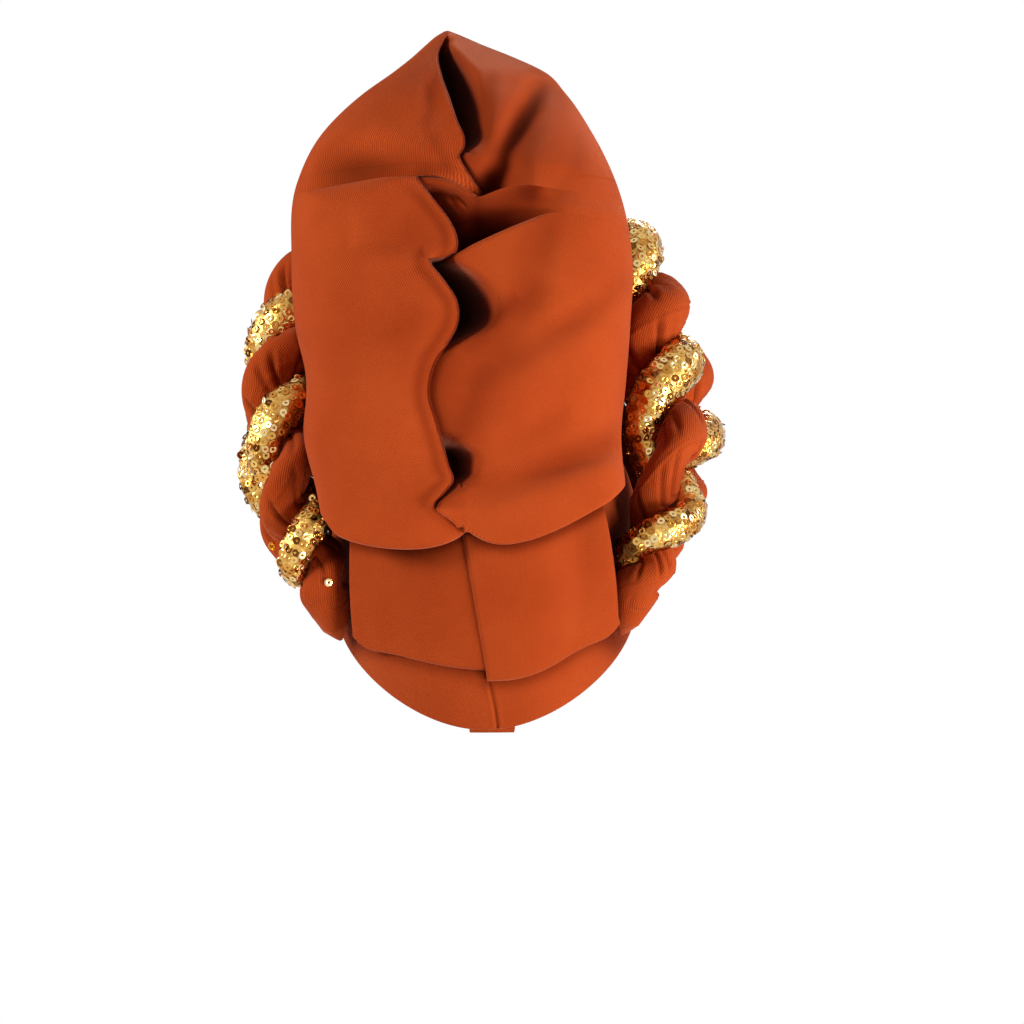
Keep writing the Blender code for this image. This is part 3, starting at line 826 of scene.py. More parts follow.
def weave_places(grid, ring, start, strand):
    """Distances across and up the cloth of each grid point, from a start column or opposite the first."""
    steps = np.linalg.norm(np.diff(grid, axis=1), axis=-1)
    across = np.concatenate([np.zeros((len(grid), 1)), np.cumsum(steps, axis=1)], 1)
    if start:
        across = across - across[:, start:start + 1]
    elif ring:
        total = across[:, -1:] + np.linalg.norm(grid[:, :1] - grid[:, -1:], axis=-1)
        across = np.where(across > total / 2.0, across - total, across)
    up = grid[..., 2]
    if strand:
        rises = np.linalg.norm(np.diff(grid.mean(1), axis=0), axis=-1)
        up = np.concatenate([[0.0], np.cumsum(rises)])[:, None] + 0.0 * across
    return np.stack([across, up, 0.0 * across], -1)


def grid_piece(name, grid, ring, material, replaced=(), caps=False, start=0, strand=False):
    """A piece from one grid of points. caps closes the first and last rows of a ring grid with fans."""
    rows, columns = grid.shape[:2]
    points = grid.reshape(-1, 3)
    faces = grid_faces(rows, columns, ring).tolist()
    if caps:
        centres = [grid[0].mean(0), grid[-1].mean(0)]
        points = np.vstack([points, centres])
        first, last = rows * columns, (rows - 1) * columns
        for j in range(columns):
            beside = (j + 1) % columns
            faces.append([beside, j, first])
            faces.append([last + j, last + beside, first + 1])
    piece = make_piece(name, points, faces, material, replaced)
    places = np.zeros((len(points), 3))
    places[:rows * columns] = weave_places(grid, ring, start, strand).reshape(-1, 3) * MM
    note_points(piece, "weave_place", "FLOAT_VECTOR", "vector", places)
    return piece


def head_level(z):
    """How far up the head's curve a height lies, from the head's widest level."""
    rise = z + HEAD_RISE
    arc = HEAD_RISE * np.arcsin(np.clip(rise / HEAD_RISE, 0.0, 1.0))
    return np.where(rise < 0.0, rise, arc)


def head_point(angle, level, out):
    """Points out from the head's surface. The angle is 0 at the back and grows towards the right."""
    side, back = np.sin(angle), np.cos(angle)
    drop = np.clip(-level / NAPE_DROP, 0.0, None)
    lean = np.clip(level, 0.0, None) / HEAD_RISE
    width = (HEAD_WIDTH + out - NAPE_NARROWING * drop**2) * np.cos(lean)
    length = (HEAD_LENGTH + out - NAPE_FORWARD * drop**NAPE_POWER * (back > 0.0)) * np.cos(lean)
    z = np.where(level < 0.0, level, (HEAD_RISE + out) * np.sin(lean)) - HEAD_RISE
    return np.stack([width * side, -length * back, z + 0.0 * side], -1)


def clear_of_head(points, out):
    """Moves points that are nearer than out to the head's dome away from it."""
    x, y, z = points[..., 0], points[..., 1], points[..., 2]
    rise = np.maximum(z + HEAD_RISE, 0.0)
    wide, long, high = x / (HEAD_WIDTH + out), y / (HEAD_LENGTH + out), rise / (HEAD_RISE + out)
    inside = np.sqrt(wide**2 + long**2 + high**2)
    grow = (1.0 / np.clip(inside, 1e-6, 1.0))[..., None]
    centre = np.stack([0 * x, 0 * y, np.where(z < -HEAD_RISE, z, -HEAD_RISE)], -1)
    return centre + (points - centre) * grow


def rope_route(rows):
    """Even steps along a rope's middle: places, radius, turns and direction."""
    steps = np.arange((len(rows) - 1) * ROUTE_STEPS + 1) / ROUTE_STEPS
    table = smooth_rows(rows, steps)
    places = table[:, :3]
    direction = unit(np.gradient(places, axis=0))
    return dict(places=places, radius=table[:, 3], turns=table[:, 4], direction=direction)


def along_route(route, key, turns):
    """A route's values at counts of turns."""
    values = route[key]
    if values.ndim == 1:
        return np.interp(turns, route["turns"], values)
    return np.stack([np.interp(turns, route["turns"], values[:, k]) for k in range(3)], -1)


def clear_of_ropes(points, space):
    """Dents the cloth where a rope presses on it, and leaves a space to the rope."""
    shape = points.shape
    flat = points.reshape(-1, 3)
    for rows in (REAR_ROPE, FRONT_ROPE):
        route = rope_route(rows)
        distance = np.linalg.norm(flat[:, None, :] - route["places"][None, :, :], axis=-1)
        nearest = distance.argmin(1)
        away = flat - route["places"][nearest]
        gap = np.linalg.norm(away, axis=-1)
        keep = route["radius"][nearest] + space
        close = gap < keep
        flat[close] = route["places"][nearest][close] + unit(away)[close] * keep[close][:, None]
    return flat.reshape(shape)


def valley_depth(rows, x, z):
    """How deep the soft valleys of a table are at places seen from behind."""
    depth = 0.0 * x
    for start_x, start_z, end_x, end_z, deep, left, right in rows:
        run_x, run_z = end_x - start_x, end_z - start_z
        length = math.hypot(run_x, run_z)
        share = ((x - start_x) * run_x + (z - start_z) * run_z) / length**2
        aside = ((z - start_z) * run_x - (x - start_x) * run_z) / length * math.copysign(1.0, -run_z)
        reach = np.where(aside > 0.0, right, left)
        depth = depth + deep * np.sin(np.pi * np.clip(share, 0.0, 1.0))**VALLEY_ENDS * fading(aside, reach)
    return depth


def hollow_depth(rows, beyond, z):
    """How deep a hollow beside the free edge is."""
    width, deep = spline(rows, z, 1), np.maximum(spline(rows, z, 2), 0.0)
    share = np.clip(beyond / np.maximum(width, 1.0), 0.0, 1.0)
    return deep * (1.0 - ease(share))**HOLLOW_POWER


def bump_at(bump, x, z):
    """The height of a round bump at places seen from behind."""
    return bump["rise"] * fading(x - bump["x"], bump["wide"]) * fading(z - bump["z"], bump["high"])


def quarter_round(into, radius):
    """How far a rounded edge falls back, radius at the edge itself and 0 from radius inwards."""
    share = 1.0 - np.clip(into / radius, 0.0, 1.0)
    return radius * (1.0 - np.sqrt(np.maximum(1.0 - share**2, 0.0)))


def sink_depth(x, z):
    """How far the cloth above the eave falls back towards it."""
    depth, reach = np.clip(spline(SINK, x, 1), 0.0, None), spline(SINK, x, 2)
    return depth * (1.0 - ease((z - spline(EAVE, x)) / np.maximum(reach, 4.0))) * (x < SINK[-1][0])


def shelf_depth(x, z):
    """The shelf, which stands forward at its upper edge and goes in behind the crest at its foot."""
    foot = spline(CREST, x)
    top = np.minimum(spline(SHELF, x, 1), spline(EAVE, x))
    share = np.clip((top - z) / np.maximum(top - foot, 1.0), 0.0, 1.0)
    shelf = between(spline(SHELF, x, 2), spline(SHELF, x, 3), share**SHELF_SLOPE)
    edge = quarter_round(top - z, SHELF_EDGE["round"]) * before(SHELF_EDGE, x)
    shelf = np.clip(shelf, 0.0, None) + edge - bump_at(SHELF_DIMPLE, x, z)
    under = spline(EAVE, x) - z
    round_flap = ((under - FLAP_ROLL["top"]) / (FLAP_ROLL["high"] - FLAP_ROLL["top"]))**2
    roll = FLAP_ROLL["least"] + FLAP_ROLL["fall"] * round_flap
    hollow = FLAP_HOLLOW - bump_at(FLAP_FOLD, x, z)
    flap = np.where(under < FLAP_ROLL["high"], np.minimum(roll, hollow), hollow)
    in_flap = ease((z - top) / FLAP_END["over"]) * before(FLAP_END, x)
    open_end = past(SHELF_END, x)
    shelf = shelf * between(1.0, ease(under / SHELF_END["high"]), open_end)
    return between(shelf, flap, in_flap)


def lip_at(z, zone):
    """Where the left half's free edge is. The zone picks its part, or a place between two parts."""
    low, middle, high = spline(LOWER_LIP, z), spline(SHELF_LIP, z), spline(UPPER_LIP, z)
    return between(between(low, middle, np.clip(zone, 0.0, 1.0)), high, np.clip(zone - 1.0, 0.0, 1.0))


def by_zone(zone, low, middle, high):
    """One of three values: below the crest, between the crest and the eave, or above the eave."""
    return np.select([zone < 0.5, zone < 1.5], [low, middle], high)


def turned(z):
    """1 where the right half lies over the left one, and 0 above."""
    return ease((LIP_TURN_Z - z) / LIP_TURN_OVER)


def right_depth(x, z, zone):
    """How far the right half lies behind the crown's outline."""
    beyond = np.maximum(x - lip_at(z, zone), 0.0)
    ends = ease((LIP_END_Z - z) / RIGHT_END_OVER) * (1.0 - turned(z))
    wide = LIP_STEP_FADE * ease((z - LIP_TURN_Z) / LIP_STEP_GROWTH) + FOOT_STEP_FADE
    fade = np.where(zone >= 1.5, TOP_STEP_FADE, wide)
    depth = LIP_STEP * ends * (1.0 - ease(beyond / fade)) + quarter_round(beyond, TURNED_ROUND) * turned(z)
    depth = depth + valley_depth(RIGHT_VALLEYS, x, z)
    top = hollow_depth(TOP_HOLLOW, beyond, z) + sink_depth(x, z) + valley_depth(TOP_VALLEYS, x, z)
    round_in = quarter_round(spline(CREST, x) - z, CREST_ROUND) * ease((CREST_FADE_X - x) / CREST_FADE_OVER)
    low = hollow_depth(MIDDLE_HOLLOW, beyond, z) + hollow_depth(LOWER_HOLLOW, beyond, z) + round_in
    return depth + by_zone(zone, low, shelf_depth(x, z), top)


def inside_part(x, z, zone):
    """How far inside one part of the left half's free edge a place lies."""
    slope = lip_at(z + 0.5, zone) - lip_at(z - 0.5, zone)
    return np.clip(lip_at(z, zone) - x, 0.0, None) / np.sqrt(1.0 + slope**2)


def inside_lip(x, z, zone):
    """How far inside the left half's free edge a place lies, left of the nip without a step at the crest."""
    above = z - spline(CREST, x)
    low = fading(above, NIP_ROLL["reach"]) * ease((NIP_ROLL["first"] - x) / NIP_ROLL["over"]) * (zone > 0.0)
    return between(inside_part(x, z, zone), inside_part(x, z, 0.0 * zone), low)


def nip_share(x):
    """1 where the left half rolls under above the crest line, and 0 left of it."""
    return rising(x, NIP_ROLL)


def left_depth(x, z, zone):
    """How far the left half lies behind the crown's outline."""
    under = spline(EAVE, x) - z
    sharp = past(EAVE_SHARP, x)
    round_off = between(np.maximum(sink_depth(x, z + under), EDGE_ROUND), EDGE_ROUND, sharp)
    edge = quarter_round(under, round_off) * past(EAVE_START, x)
    nip = quarter_round(z - spline(CREST, x), NIP_ROLL["radius"]) * nip_share(x)
    inside = inside_lip(x, z, zone)
    bend = LIP_BEND["depth"] * np.exp(-inside / LIP_BEND["reach"])
    bend = bend - LIP_BEAD["rise"] * fading(inside, LIP_BEAD["reach"])
    bend = bend * (1.0 - turned(z)) * ease((LIP_END_Z - z) / LIP_END_OVER)
    tuck = LIP_TURN_STEP * turned(z) * np.exp(-inside / LIP_TURN_REACH)
    depth = valley_depth(LEFT_VALLEYS, x, z) + bend + tuck
    return depth + by_zone(zone, 0.0 * x, edge + nip, sink_depth(x, z))


def left_shade(x, z, zone):
    """Painted soft shadow beside the free edge and under the nip."""
    inside = inside_lip(x, z, zone)
    beside = shadow(LIP_SHADE, inside - LIP_SHADE["middle"])
    under = 1.0 - ease((z - spline(CREST, x)) / NIP_ROLL["radius"])
    nip = NIP_SHADE * under * nip_share(x) * (np.abs(zone - 1.0) < 0.5)
    top = ease((LIP_SHADE["top"] - z) / LIP_SHADE["over"])
    return np.maximum(beside * (1.0 - turned(z)) * top, nip)


def cast_shade(x, z, zone):
    """The left half's painted shadow on the right half beside its free edge."""
    beyond = np.maximum(x - lip_at(z, zone), 0.0)
    wide = LIP_CAST["soft"] * fading(beyond, LIP_CAST["soft_reach"])
    below = ease((LIP_CAST["top"] - z) / LIP_END_OVER)
    return np.maximum(shadow(LIP_CAST, beyond), wide) * (1.0 - turned(z)) * below


def soft_waves(x, z):
    """Two slow waves of the stretched cloth, some centimetres long."""
    (x1, z1), (x2, z2), (x3, z3) = SOFT_LENGTHS
    wide = np.sin(x / x1 + z / z1) * np.sin(z / z2 - x / x2)
    return SOFT_WAVES[0] * wide + SOFT_WAVES[1] * np.sin(x / x3 - z / z3)


def section_at(z):
    """The crown's left, right, back, front and widest place at a height."""
    return [spline(CROWN_SECTIONS, z, column) for column in range(1, 6)]


def oval_point(section, angle):
    """Places on the crown's plain outline. The angle is 0 at the back and grows towards the right."""
    left, right, back, front, widest = section
    side, facing = np.sin(angle), np.cos(angle)
    power = np.where(facing >= 0.0, 2.0 / CROWN_BACK_POWER, 2.0 / CROWN_FRONT_POWER)
    x = (left + right) / 2.0 + (right - left) / 2.0 * np.sign(side) * np.abs(side)**power
    reach = np.where(facing >= 0.0, back, front)
    return x, widest + (reach - widest) * np.abs(facing)**power


def oval_angle(section, x):
    """The angle at which the back of the outline passes x."""
    left, right = section[0], section[1]
    share = np.clip((2.0 * x - left - right) / (right - left), -0.98, 0.98)
    return np.sign(share) * np.arcsin(np.abs(share)**(CROWN_BACK_POWER / 2.0))


def hem_height(x, y, widest):
    """Where the crown's lower edge runs: by the table behind, and up over the head in front."""
    behind = spline(HEM_BACK, x) + HEM_ROLL
    first = HEM_FRONT[0]
    turning = between(behind, first[1], ease((y - widest) / (first[0] - widest)))
    ahead = spline(HEM_FRONT, y)
    return np.where(y <= widest, behind, np.where(y < first[0], turning, ahead))


def crown_rows():
    """Plain heights of the crown's rows and their zones, from the hem to the peak.

    Below the crest the zone is 0, below the eave 1 and above it 2. It changes step by step over the thin rows
    inside each line.
    """
    rows, zones, z, zone = [HEM_Z], [0.0], HEM_Z, 0
    stops = [CREST_Z, EAVE_Z]
    while z < CROWN_SECTIONS[-1][0]:
        near = min(abs(z - CREST_Z), abs(z - EAVE_Z))
        z += between(ROW_SPACE_FINE, ROW_SPACE, float(ease(near / FINE_REACH)))
        if zone < len(stops) and z > stops[zone] - LINE_GAP:
            for k in range(LINE_ROWS + 1):
                rows.append(stops[zone] + LINE_GAP * (k / LINE_ROWS - 0.5))
                zones.append(zone + k / LINE_ROWS)
            zone += 1
            z = rows[-1]
        else:
            rows.append(min(z, CROWN_SECTIONS[-1][0]))
            zones.append(zone)
    return np.array(rows), np.array(zones)


def warped(plain, x):
    """Heights at which rows lie, so that they follow the eave and the crest."""
    middle = ease((plain - CREST_Z) / (EAVE_Z - CREST_Z))
    above = fading(np.maximum(plain - EAVE_Z, 0.0), EAVE_REACH)
    below = fading(np.maximum(CREST_Z - plain, 0.0), CREST_REACH)
    at_eave = np.where(plain >= EAVE_Z, above, middle)
    at_crest = np.where(plain >= CREST_Z, 1.0 - middle, below)
    return (spline(EAVE, x) - EAVE_Z) * at_eave + (spline(CREST, x) - CREST_Z) * at_crest


def crown_parts():
    """Each part of the crown's columns with its share of that part, once round from the fold."""
    parts, first = [], 0
    for part, count in CROWN_COLUMNS.items():
        parts.append((part, slice(first, first + count), (np.arange(count) + 1.0) / count))
        first += count
    return parts, first


def crown_place(z, zone):
    """x, y and depth of every point of the crown at given heights."""
    quarter = math.pi / 2.0
    x, y, depth = np.zeros_like(z), np.zeros_like(z), np.zeros_like(z)
    for part, columns, share in crown_parts()[0]:
        height = z[:, columns]
        section = section_at(height)
        lip = lip_at(height, zone)
        deep = right_depth(lip, height, zone)
        base = left_depth(lip - LIP_ROLL, height, zone)
        roll = np.clip((deep - base) / ROLL_OVER, 0.0, LIP_ROLL)
        undercut = LIP_UNDERCUT * ease((deep - base - LIP_STEP) / LIP_STEP)
        if part == "roll":
            px = lip - roll + roll * np.sin(np.pi * share)
            depths = base + roll * (1.0 - np.cos(np.pi * share))
            py = oval_point(section, oval_angle(section, px))[1]
        elif part == "wall":
            px = between(lip - roll, lip - undercut, ease(share))
            depths = between(base + 2.0 * roll, np.maximum(deep, base + 2.0 * roll), ease(share))
            py = oval_point(section, oval_angle(section, px))[1]
        elif part == "right":
            near = RIGHT_CROWD[0] * share + RIGHT_CROWD[1] * share**2
            first = oval_angle(section, FOLD_X)
            shift = (oval_angle(section, lip - undercut) - first) * (1.0 - near)**COLUMN_PULL
            px, py = oval_point(section, between(first, quarter, near) + shift)
            depths = right_depth(px, height, zone) * (1.0 - ease((near + RIGHT_FADE - 1.0) / RIGHT_FADE))
        elif part == "front":
            px, py = oval_point(section, between(quarter, 3.0 * quarter, share) + 0.0 * height)
            depths = 0.0 * px
        else:
            near = LEFT_CROWD[0] * share + LEFT_CROWD[1] * share**2
            last = oval_angle(section, FOLD_X)
            shift = (oval_angle(section, lip - roll) - last) * near**COLUMN_PULL
            px, py = oval_point(section, between(-quarter, last, near) + shift)
            depths = left_depth(px, height, zone) * ease(near / LEFT_FADE)
        x[:, columns], y[:, columns], depth[:, columns] = px, py, depths
    return x, y, depth


def crown_grid():
    """Points of the whole crown, row by row from the hem to the peak, with their zones and painted shade."""
    plain, zone = (row[:, None] for row in crown_rows())
    z = np.repeat(plain, crown_parts()[1], 1)
    share = (plain - HEM_Z) / (CROWN_FREE_Z - HEM_Z)
    for _ in range(SETTLE_ROUNDS):
        x, y, depth = crown_place(z, zone)
        widest = spline(CROWN_SECTIONS, z, 5)
        free = between(hem_height(x, y, widest), CROWN_FREE_Z, share)
        lines = ease((widest - y) / BEHIND_OVER["lines"])
        z = np.where(plain < CROWN_FREE_Z, free, plain) + warped(plain, x) * lines
    tuck = HEM_TUCK * (1.0 - ease((z - HEM_Z) / HEM_TUCK_HEIGHT)) * ease((widest - y) / BEHIND_OVER["tuck"])
    behind = ease((widest - y) / BEHIND_OVER["shade"])
    grid = np.stack([x, y + depth + tuck + soft_waves(x, z) * behind, z], -1)
    # Painted shade: by how deep the cloth lies, beside the free edge, and along the soft shadow tables
    on_shelf = np.clip(1.0 - np.abs(zone - 1.0), 0.0, 1.0) * (x > lip_at(z, zone))
    first = between(SHADE_FROM, SHELF_SHADE_FROM, on_shelf)
    last = between(SHADE_TO, SHELF_SHADE_TO, on_shelf)
    left = x < lip_at(z, zone) - 0.5 * LIP_ROLL
    soft = between(valley_depth(RIGHT_SHADES, x, z), valley_depth(SHELF_SHADES, x, z), on_shelf)
    soft = np.where(left, valley_depth(LEFT_SHADES, x, z), soft)
    soft = np.where(zone > 1.5, valley_depth(TOP_SHADES, x, z), soft)
    lip = np.where(left, left_shade(x, z, zone), cast_shade(x, z, zone))
    deep = ease((depth - first) / (last - first))
    shade = np.clip(together(deep, lip, soft), 0.0, 1.0) * behind
    return clear_of_ropes(clear_of_head(grid, CROWN_OUT), ROPE_KEEP_OUT), zone[:, 0], shade


def hem_rows(hem):
    """The hem's cloth rolled under and turned up inside, from its inner end to its edge."""
    centre = hem.mean(0)
    inward = centre - hem
    inward[:, 2] = 0.0
    inward = unit(inward)
    rows = []
    for k in range(HEM_ROLL_STEPS):
        turn = math.pi * (HEM_ROLL_STEPS - k) / HEM_ROLL_STEPS
        down = np.array([0.0, 0.0, -HEM_ROLL * math.sin(turn)])
        rows.append(hem + inward * HEM_ROLL * (1.0 - math.cos(turn)) + down)
    turned_up = rows[0] + np.array([0.0, 0.0, HEM_TURN_UP])
    return np.stack([turned_up] + rows)


def make_crown(satin):
    """The tall puffed crown with its long wavy fold, hollows, eave and rolled hem."""
    grid, zone, shade = crown_grid()
    hem = hem_rows(grid[0])
    whole = np.concatenate([hem, grid])
    front = next(columns for part, columns, _ in crown_parts()[0] if part == "front")
    middle = (front.start + front.stop) // 2
    crown = grid_piece("crown_cloth", whole, True, satin, ["crown"], start=middle)
    close_top(crown, whole)
    # Painted shade on the crown, none on the hem
    add_shade(crown, np.concatenate([np.zeros(hem.shape[:2]), shade]))
    for line, first, last in SHARP_LINES:
        sharpen_line(crown, whole, len(hem) + int(np.argmax(zone >= line)), first, last)


def add_shade(piece, shade):
    """Notes the painted shade of each point of a grid piece, for its material to darken its colour by."""
    values = np.zeros(len(piece.data.vertices))
    values[:shade.size] = shade.ravel()
    note_points(piece, "painted_shade", "FLOAT", "value", values)


def close_top(piece, grid):
    """A point that closes the last ring of a grid piece."""
    work = bmesh.new()
    work.from_mesh(piece.data)
    work.verts.ensure_lookup_table()
    columns = grid.shape[1]
    first = (grid.shape[0] - 1) * columns
    ring = [work.verts[first + j] for j in range(columns)]
    middle = sum((vert.co for vert in ring), Vector()) / columns
    top = work.verts.new(middle + Vector((0.0, 0.0, PEAK_RISE * MM)))
    for j in range(columns):
        face = work.faces.new((ring[j], ring[(j + 1) % columns], top))
        face.smooth = True
    work.to_mesh(piece.data)
    work.free()


def sharpen_line(piece, grid, row, first, last):
    """Marks a thin step between two rows as sharp, so that the cloth above and below it shades cleanly."""
    columns = grid.shape[1]
    edges = len(piece.data.edges)
    ends = np.zeros(edges * 2, int)
    piece.data.edges.foreach_get("vertices", ends)
    ends = ends.reshape(-1, 2)
    rows, places = ends // columns, ends % columns
    point = grid[np.minimum(rows[:, 0], grid.shape[0] - 1), places[:, 0]]
    on_line = (rows[:, 0] == rows[:, 1]) & ((rows[:, 0] == row) | (rows[:, 0] == row - 1))
    found = on_line & (point[:, 0] > first) & (point[:, 0] < last) & (point[:, 1] < 0.0)
    notes = piece.data.attributes
    attribute = notes.get("sharp_edge") or notes.new("sharp_edge", "BOOLEAN", "EDGE")
    marks = np.zeros(edges, bool)
    attribute.data.foreach_get("value", marks)
    attribute.data.foreach_set("value", marks | found)


def rim_height(angle):
    """The cap's lowest edge at angles round the head."""
    return RIM_FRONT - RIM_DROP * ((1.0 + np.cos(angle)) / 2.0)**RIM_POWER


def edge_shade(points, edges):
    """How dark the painted shadow of the panels' raised edges makes the cloth beside them, seen from behind.
    """
    flat, line = points.reshape(-1, 3)[:, ::2], edges[:, ::2]
    near = np.linalg.norm(flat[:, None, :] - line[None, :, :], axis=-1).min(1).reshape(points.shape[:-1])
    return shadow(EDGE_SHADE, near) * (points[..., 1] < 0.0)


def rope_shade(points):
    """How dark the rear rope's painted shadow makes the cloth beside it, as seen from behind."""
    flat, route = points.reshape(-1, 3)[:, ::2], rope_route(REAR_ROPE)
    gap = np.linalg.norm(flat[:, None, :] - route["places"][None, :, ::2], axis=-1) - route["radius"][None, :]
    near = np.maximum(gap.min(1), 0.0).reshape(points.shape[:-1])
    behind = ease((ROPE_SHADE["last"] - points[..., 1]) / (ROPE_SHADE["last"] - ROPE_SHADE["first"]))
    return shadow(ROPE_SHADE, near) * behind


def hem_shade(points):
    """How dark the crown hem's painted shadow makes the cloth just below it."""
    x, y, z = points[..., 0], points[..., 1], points[..., 2]
    below = np.maximum(spline(HEM_BACK, x) - z, 0.0)
    return shadow(HEM_SHADE, below) * (y < HEM_SHADE["front"])


def make_cap(satin):
    """The close cap with a rounded rim and the seam down its back."""
    fine = np.linspace(-CAP_SEAM_ANGLE, CAP_SEAM_ANGLE, CAP_SEAM_COLUMNS)
    wide = np.linspace(CAP_SEAM_ANGLE, 2.0 * math.pi - CAP_SEAM_ANGLE, CAP_COLUMNS + 2)[1:-1]
    angle = np.concatenate([fine, wide])[None, :]
    rim = head_level(rim_height(angle))
    top = HEAD_RISE * math.pi / 2.0
    share = (np.arange(CAP_ROWS + 1) / CAP_ROWS)[:, None]**CAP_ROW_POWER * CAP_TOP_SHARE
    level = between(rim, top, share)
    out = CAP_OUT + 0.0 * angle + 0.0 * level
    outside = head_point(angle, level, out)
    seam_x = spline(CAP_SEAM, outside[..., 2])
    aside = (outside[..., 0] - seam_x) / CAP_SEAM_WIDTH
    ridges = CAP_SEAM_RIDGE["rise"] * fading(np.abs(aside) - CAP_SEAM_RIDGE["aside"], CAP_SEAM_RIDGE["reach"])
    groove = CAP_SEAM_DEPTH * fading(aside, 1.0) - ridges
    outside = head_point(angle, level, CAP_OUT - groove * (outside[..., 1] < 0.0))
    rounding = []
    for k in range(CAP_RIM_STEPS):
        turn = math.pi * (CAP_RIM_STEPS - k) / CAP_RIM_STEPS
        drop = CAP_RIM_ROUND * math.sin(turn)
        back_in = CAP_RIM_ROUND * (1.0 - math.cos(turn))
        rounding.append(head_point(angle, rim - drop, CAP_OUT - back_in)[0])
    inside = head_point(angle, level, CAP_OUT - 2.0 * CAP_RIM_ROUND)
    grid = np.concatenate([inside[::-1], np.stack(rounding), outside])
    cap = grid_piece("cap_cloth", grid, True, satin, ["base_cap"], caps=True)
    panels = (panel_grid(LEFT_PANEL, 0.0), panel_grid(RIGHT_PANEL, 1.0))
    edges = np.concatenate([line for panel in panels for line in (panel[0], panel[:, -1])])
    # Painted shadows of the panels' edges and the rear rope, on the cap's outside only
    inner = np.zeros((len(grid) - len(outside), grid.shape[1]))
    outer = together(edge_shade(outside, edges), rope_shade(outside))
    add_shade(cap, np.concatenate([inner, outer]))


def make_tab(satin):
    """The ends of folded hem that show under the middle of the nape."""
    across = np.linspace(-1.0, 1.0, TAB_COLUMNS)[None, :]
    up = np.linspace(0.0, 1.0, TAB_ROWS)[:, None]
    angle = (TAB_MIDDLE + TAB_WIDTH / 2.0 * across) / HEAD_WIDTH
    foot = rim_height(0.0) - TAB_SHOWS
    level = head_level(foot + TAB_HEIGHT * up + 0.0 * angle)
    fold = TAB_FOLD["rise"] * fading(across - TAB_FOLD["across"], TAB_FOLD["reach"])
    fold = fold + TAB_WAVES["height"] * np.cos(across * TAB_WAVES["count"])
    near = 1.0 - np.minimum(up / TAB_ROUND["high"], 1.0)
    edge = TAB_ROUND["rise"] * np.sqrt(np.clip(1.0 - near**2, 0.0, 1.0))
    front = head_point(angle, level, TAB_OUT + edge - TAB_FOLD["shows"] * fold)
    tab = grid_piece("nape_tab_cloth", front, False, satin, ["nape_tab"])


def edge_round(across, up, width, height):
    """1 inside a panel, falling to 0 at its edges along a quarter circle."""
    near = np.minimum(np.minimum(across, 1.0 - across) * width, np.minimum(up, 1.0 - up) * height)
    share = 1.0 - np.clip(near / PANEL_EDGE_ROUND, 0.0, 1.0)
    return np.sqrt(1.0 - share**2)


def dense_ends(count):
    """Shares from 0 to 1 that lie closer together towards both ends."""
    share = np.linspace(0.0, 1.0, count)
    return share - EDGE_CROWD * np.sin(2.0 * math.pi * share)


def panel_grid(panel, step_over):
    """Points of a back panel from its inner to its outer side edge and from its foot up."""
    across = dense_ends(PANEL_COLUMNS)[None, :]
    up = dense_ends(PANEL_ROWS)[:, None]
    inner = between(panel["inner_foot"], panel["inner_head"], up)
    outer = between(panel["outer_foot"], panel["outer_head"], up)
    angle = between(inner, outer, across)
    corner = PANEL_CORNER["rise"] * np.clip(1.0 - up / PANEL_CORNER["high"], 0.0, 1.0)
    outwards = np.clip((across + PANEL_CORNER["wide"] - 1.0) / PANEL_CORNER["wide"], 0.0, 1.0)
    corner = corner * outwards**PANEL_CORNER["power"]
    lift = PANEL_LIFT * ease((np.abs(angle) - PANEL_LIFT_FROM) / (np.abs(outer) - PANEL_LIFT_FROM))
    low = panel["foot"] + panel["rise"] * ease(across)**PANEL_RISE_POWER
    z = between(low, PANEL_TOP + panel["head_rise"] * ease(across), up) + corner
    over = ease((LEFT_PANEL["inner_foot"] + PANEL_STEP_OVER - angle) / PANEL_STEP_OVER)
    base = panel["out"] + PANEL_STEP * over * step_over
    body = PANEL_THICKNESS * edge_round(across, up, *PANEL_SIZE)
    pull = PANEL_PULL["height"] * np.sin(across * PANEL_PULL["across"] + up * PANEL_PULL["lean"])
    pull = pull * np.sin(up * PANEL_PULL["up"] + PANEL_PULL["start"])
    pull = pull * edge_round(across, up, *PANEL_PULL["size"])
    return head_point(np.radians(angle), head_level(z), base + lift + body + pull)


def make_panels(satin):
    """The two flat panels of the back, the right one over the left one."""
    for name, panel, over, node in (("left_panel_cloth", LEFT_PANEL, 0.0, "panel_left"),
                                    ("right_panel_cloth", RIGHT_PANEL, 1.0, "panel_right")):
        grid = panel_grid(panel, over)
        piece = grid_piece(name, grid, False, satin, [node])
        # Painted shadow of the crown's hem
        add_shade(piece, hem_shade(grid))


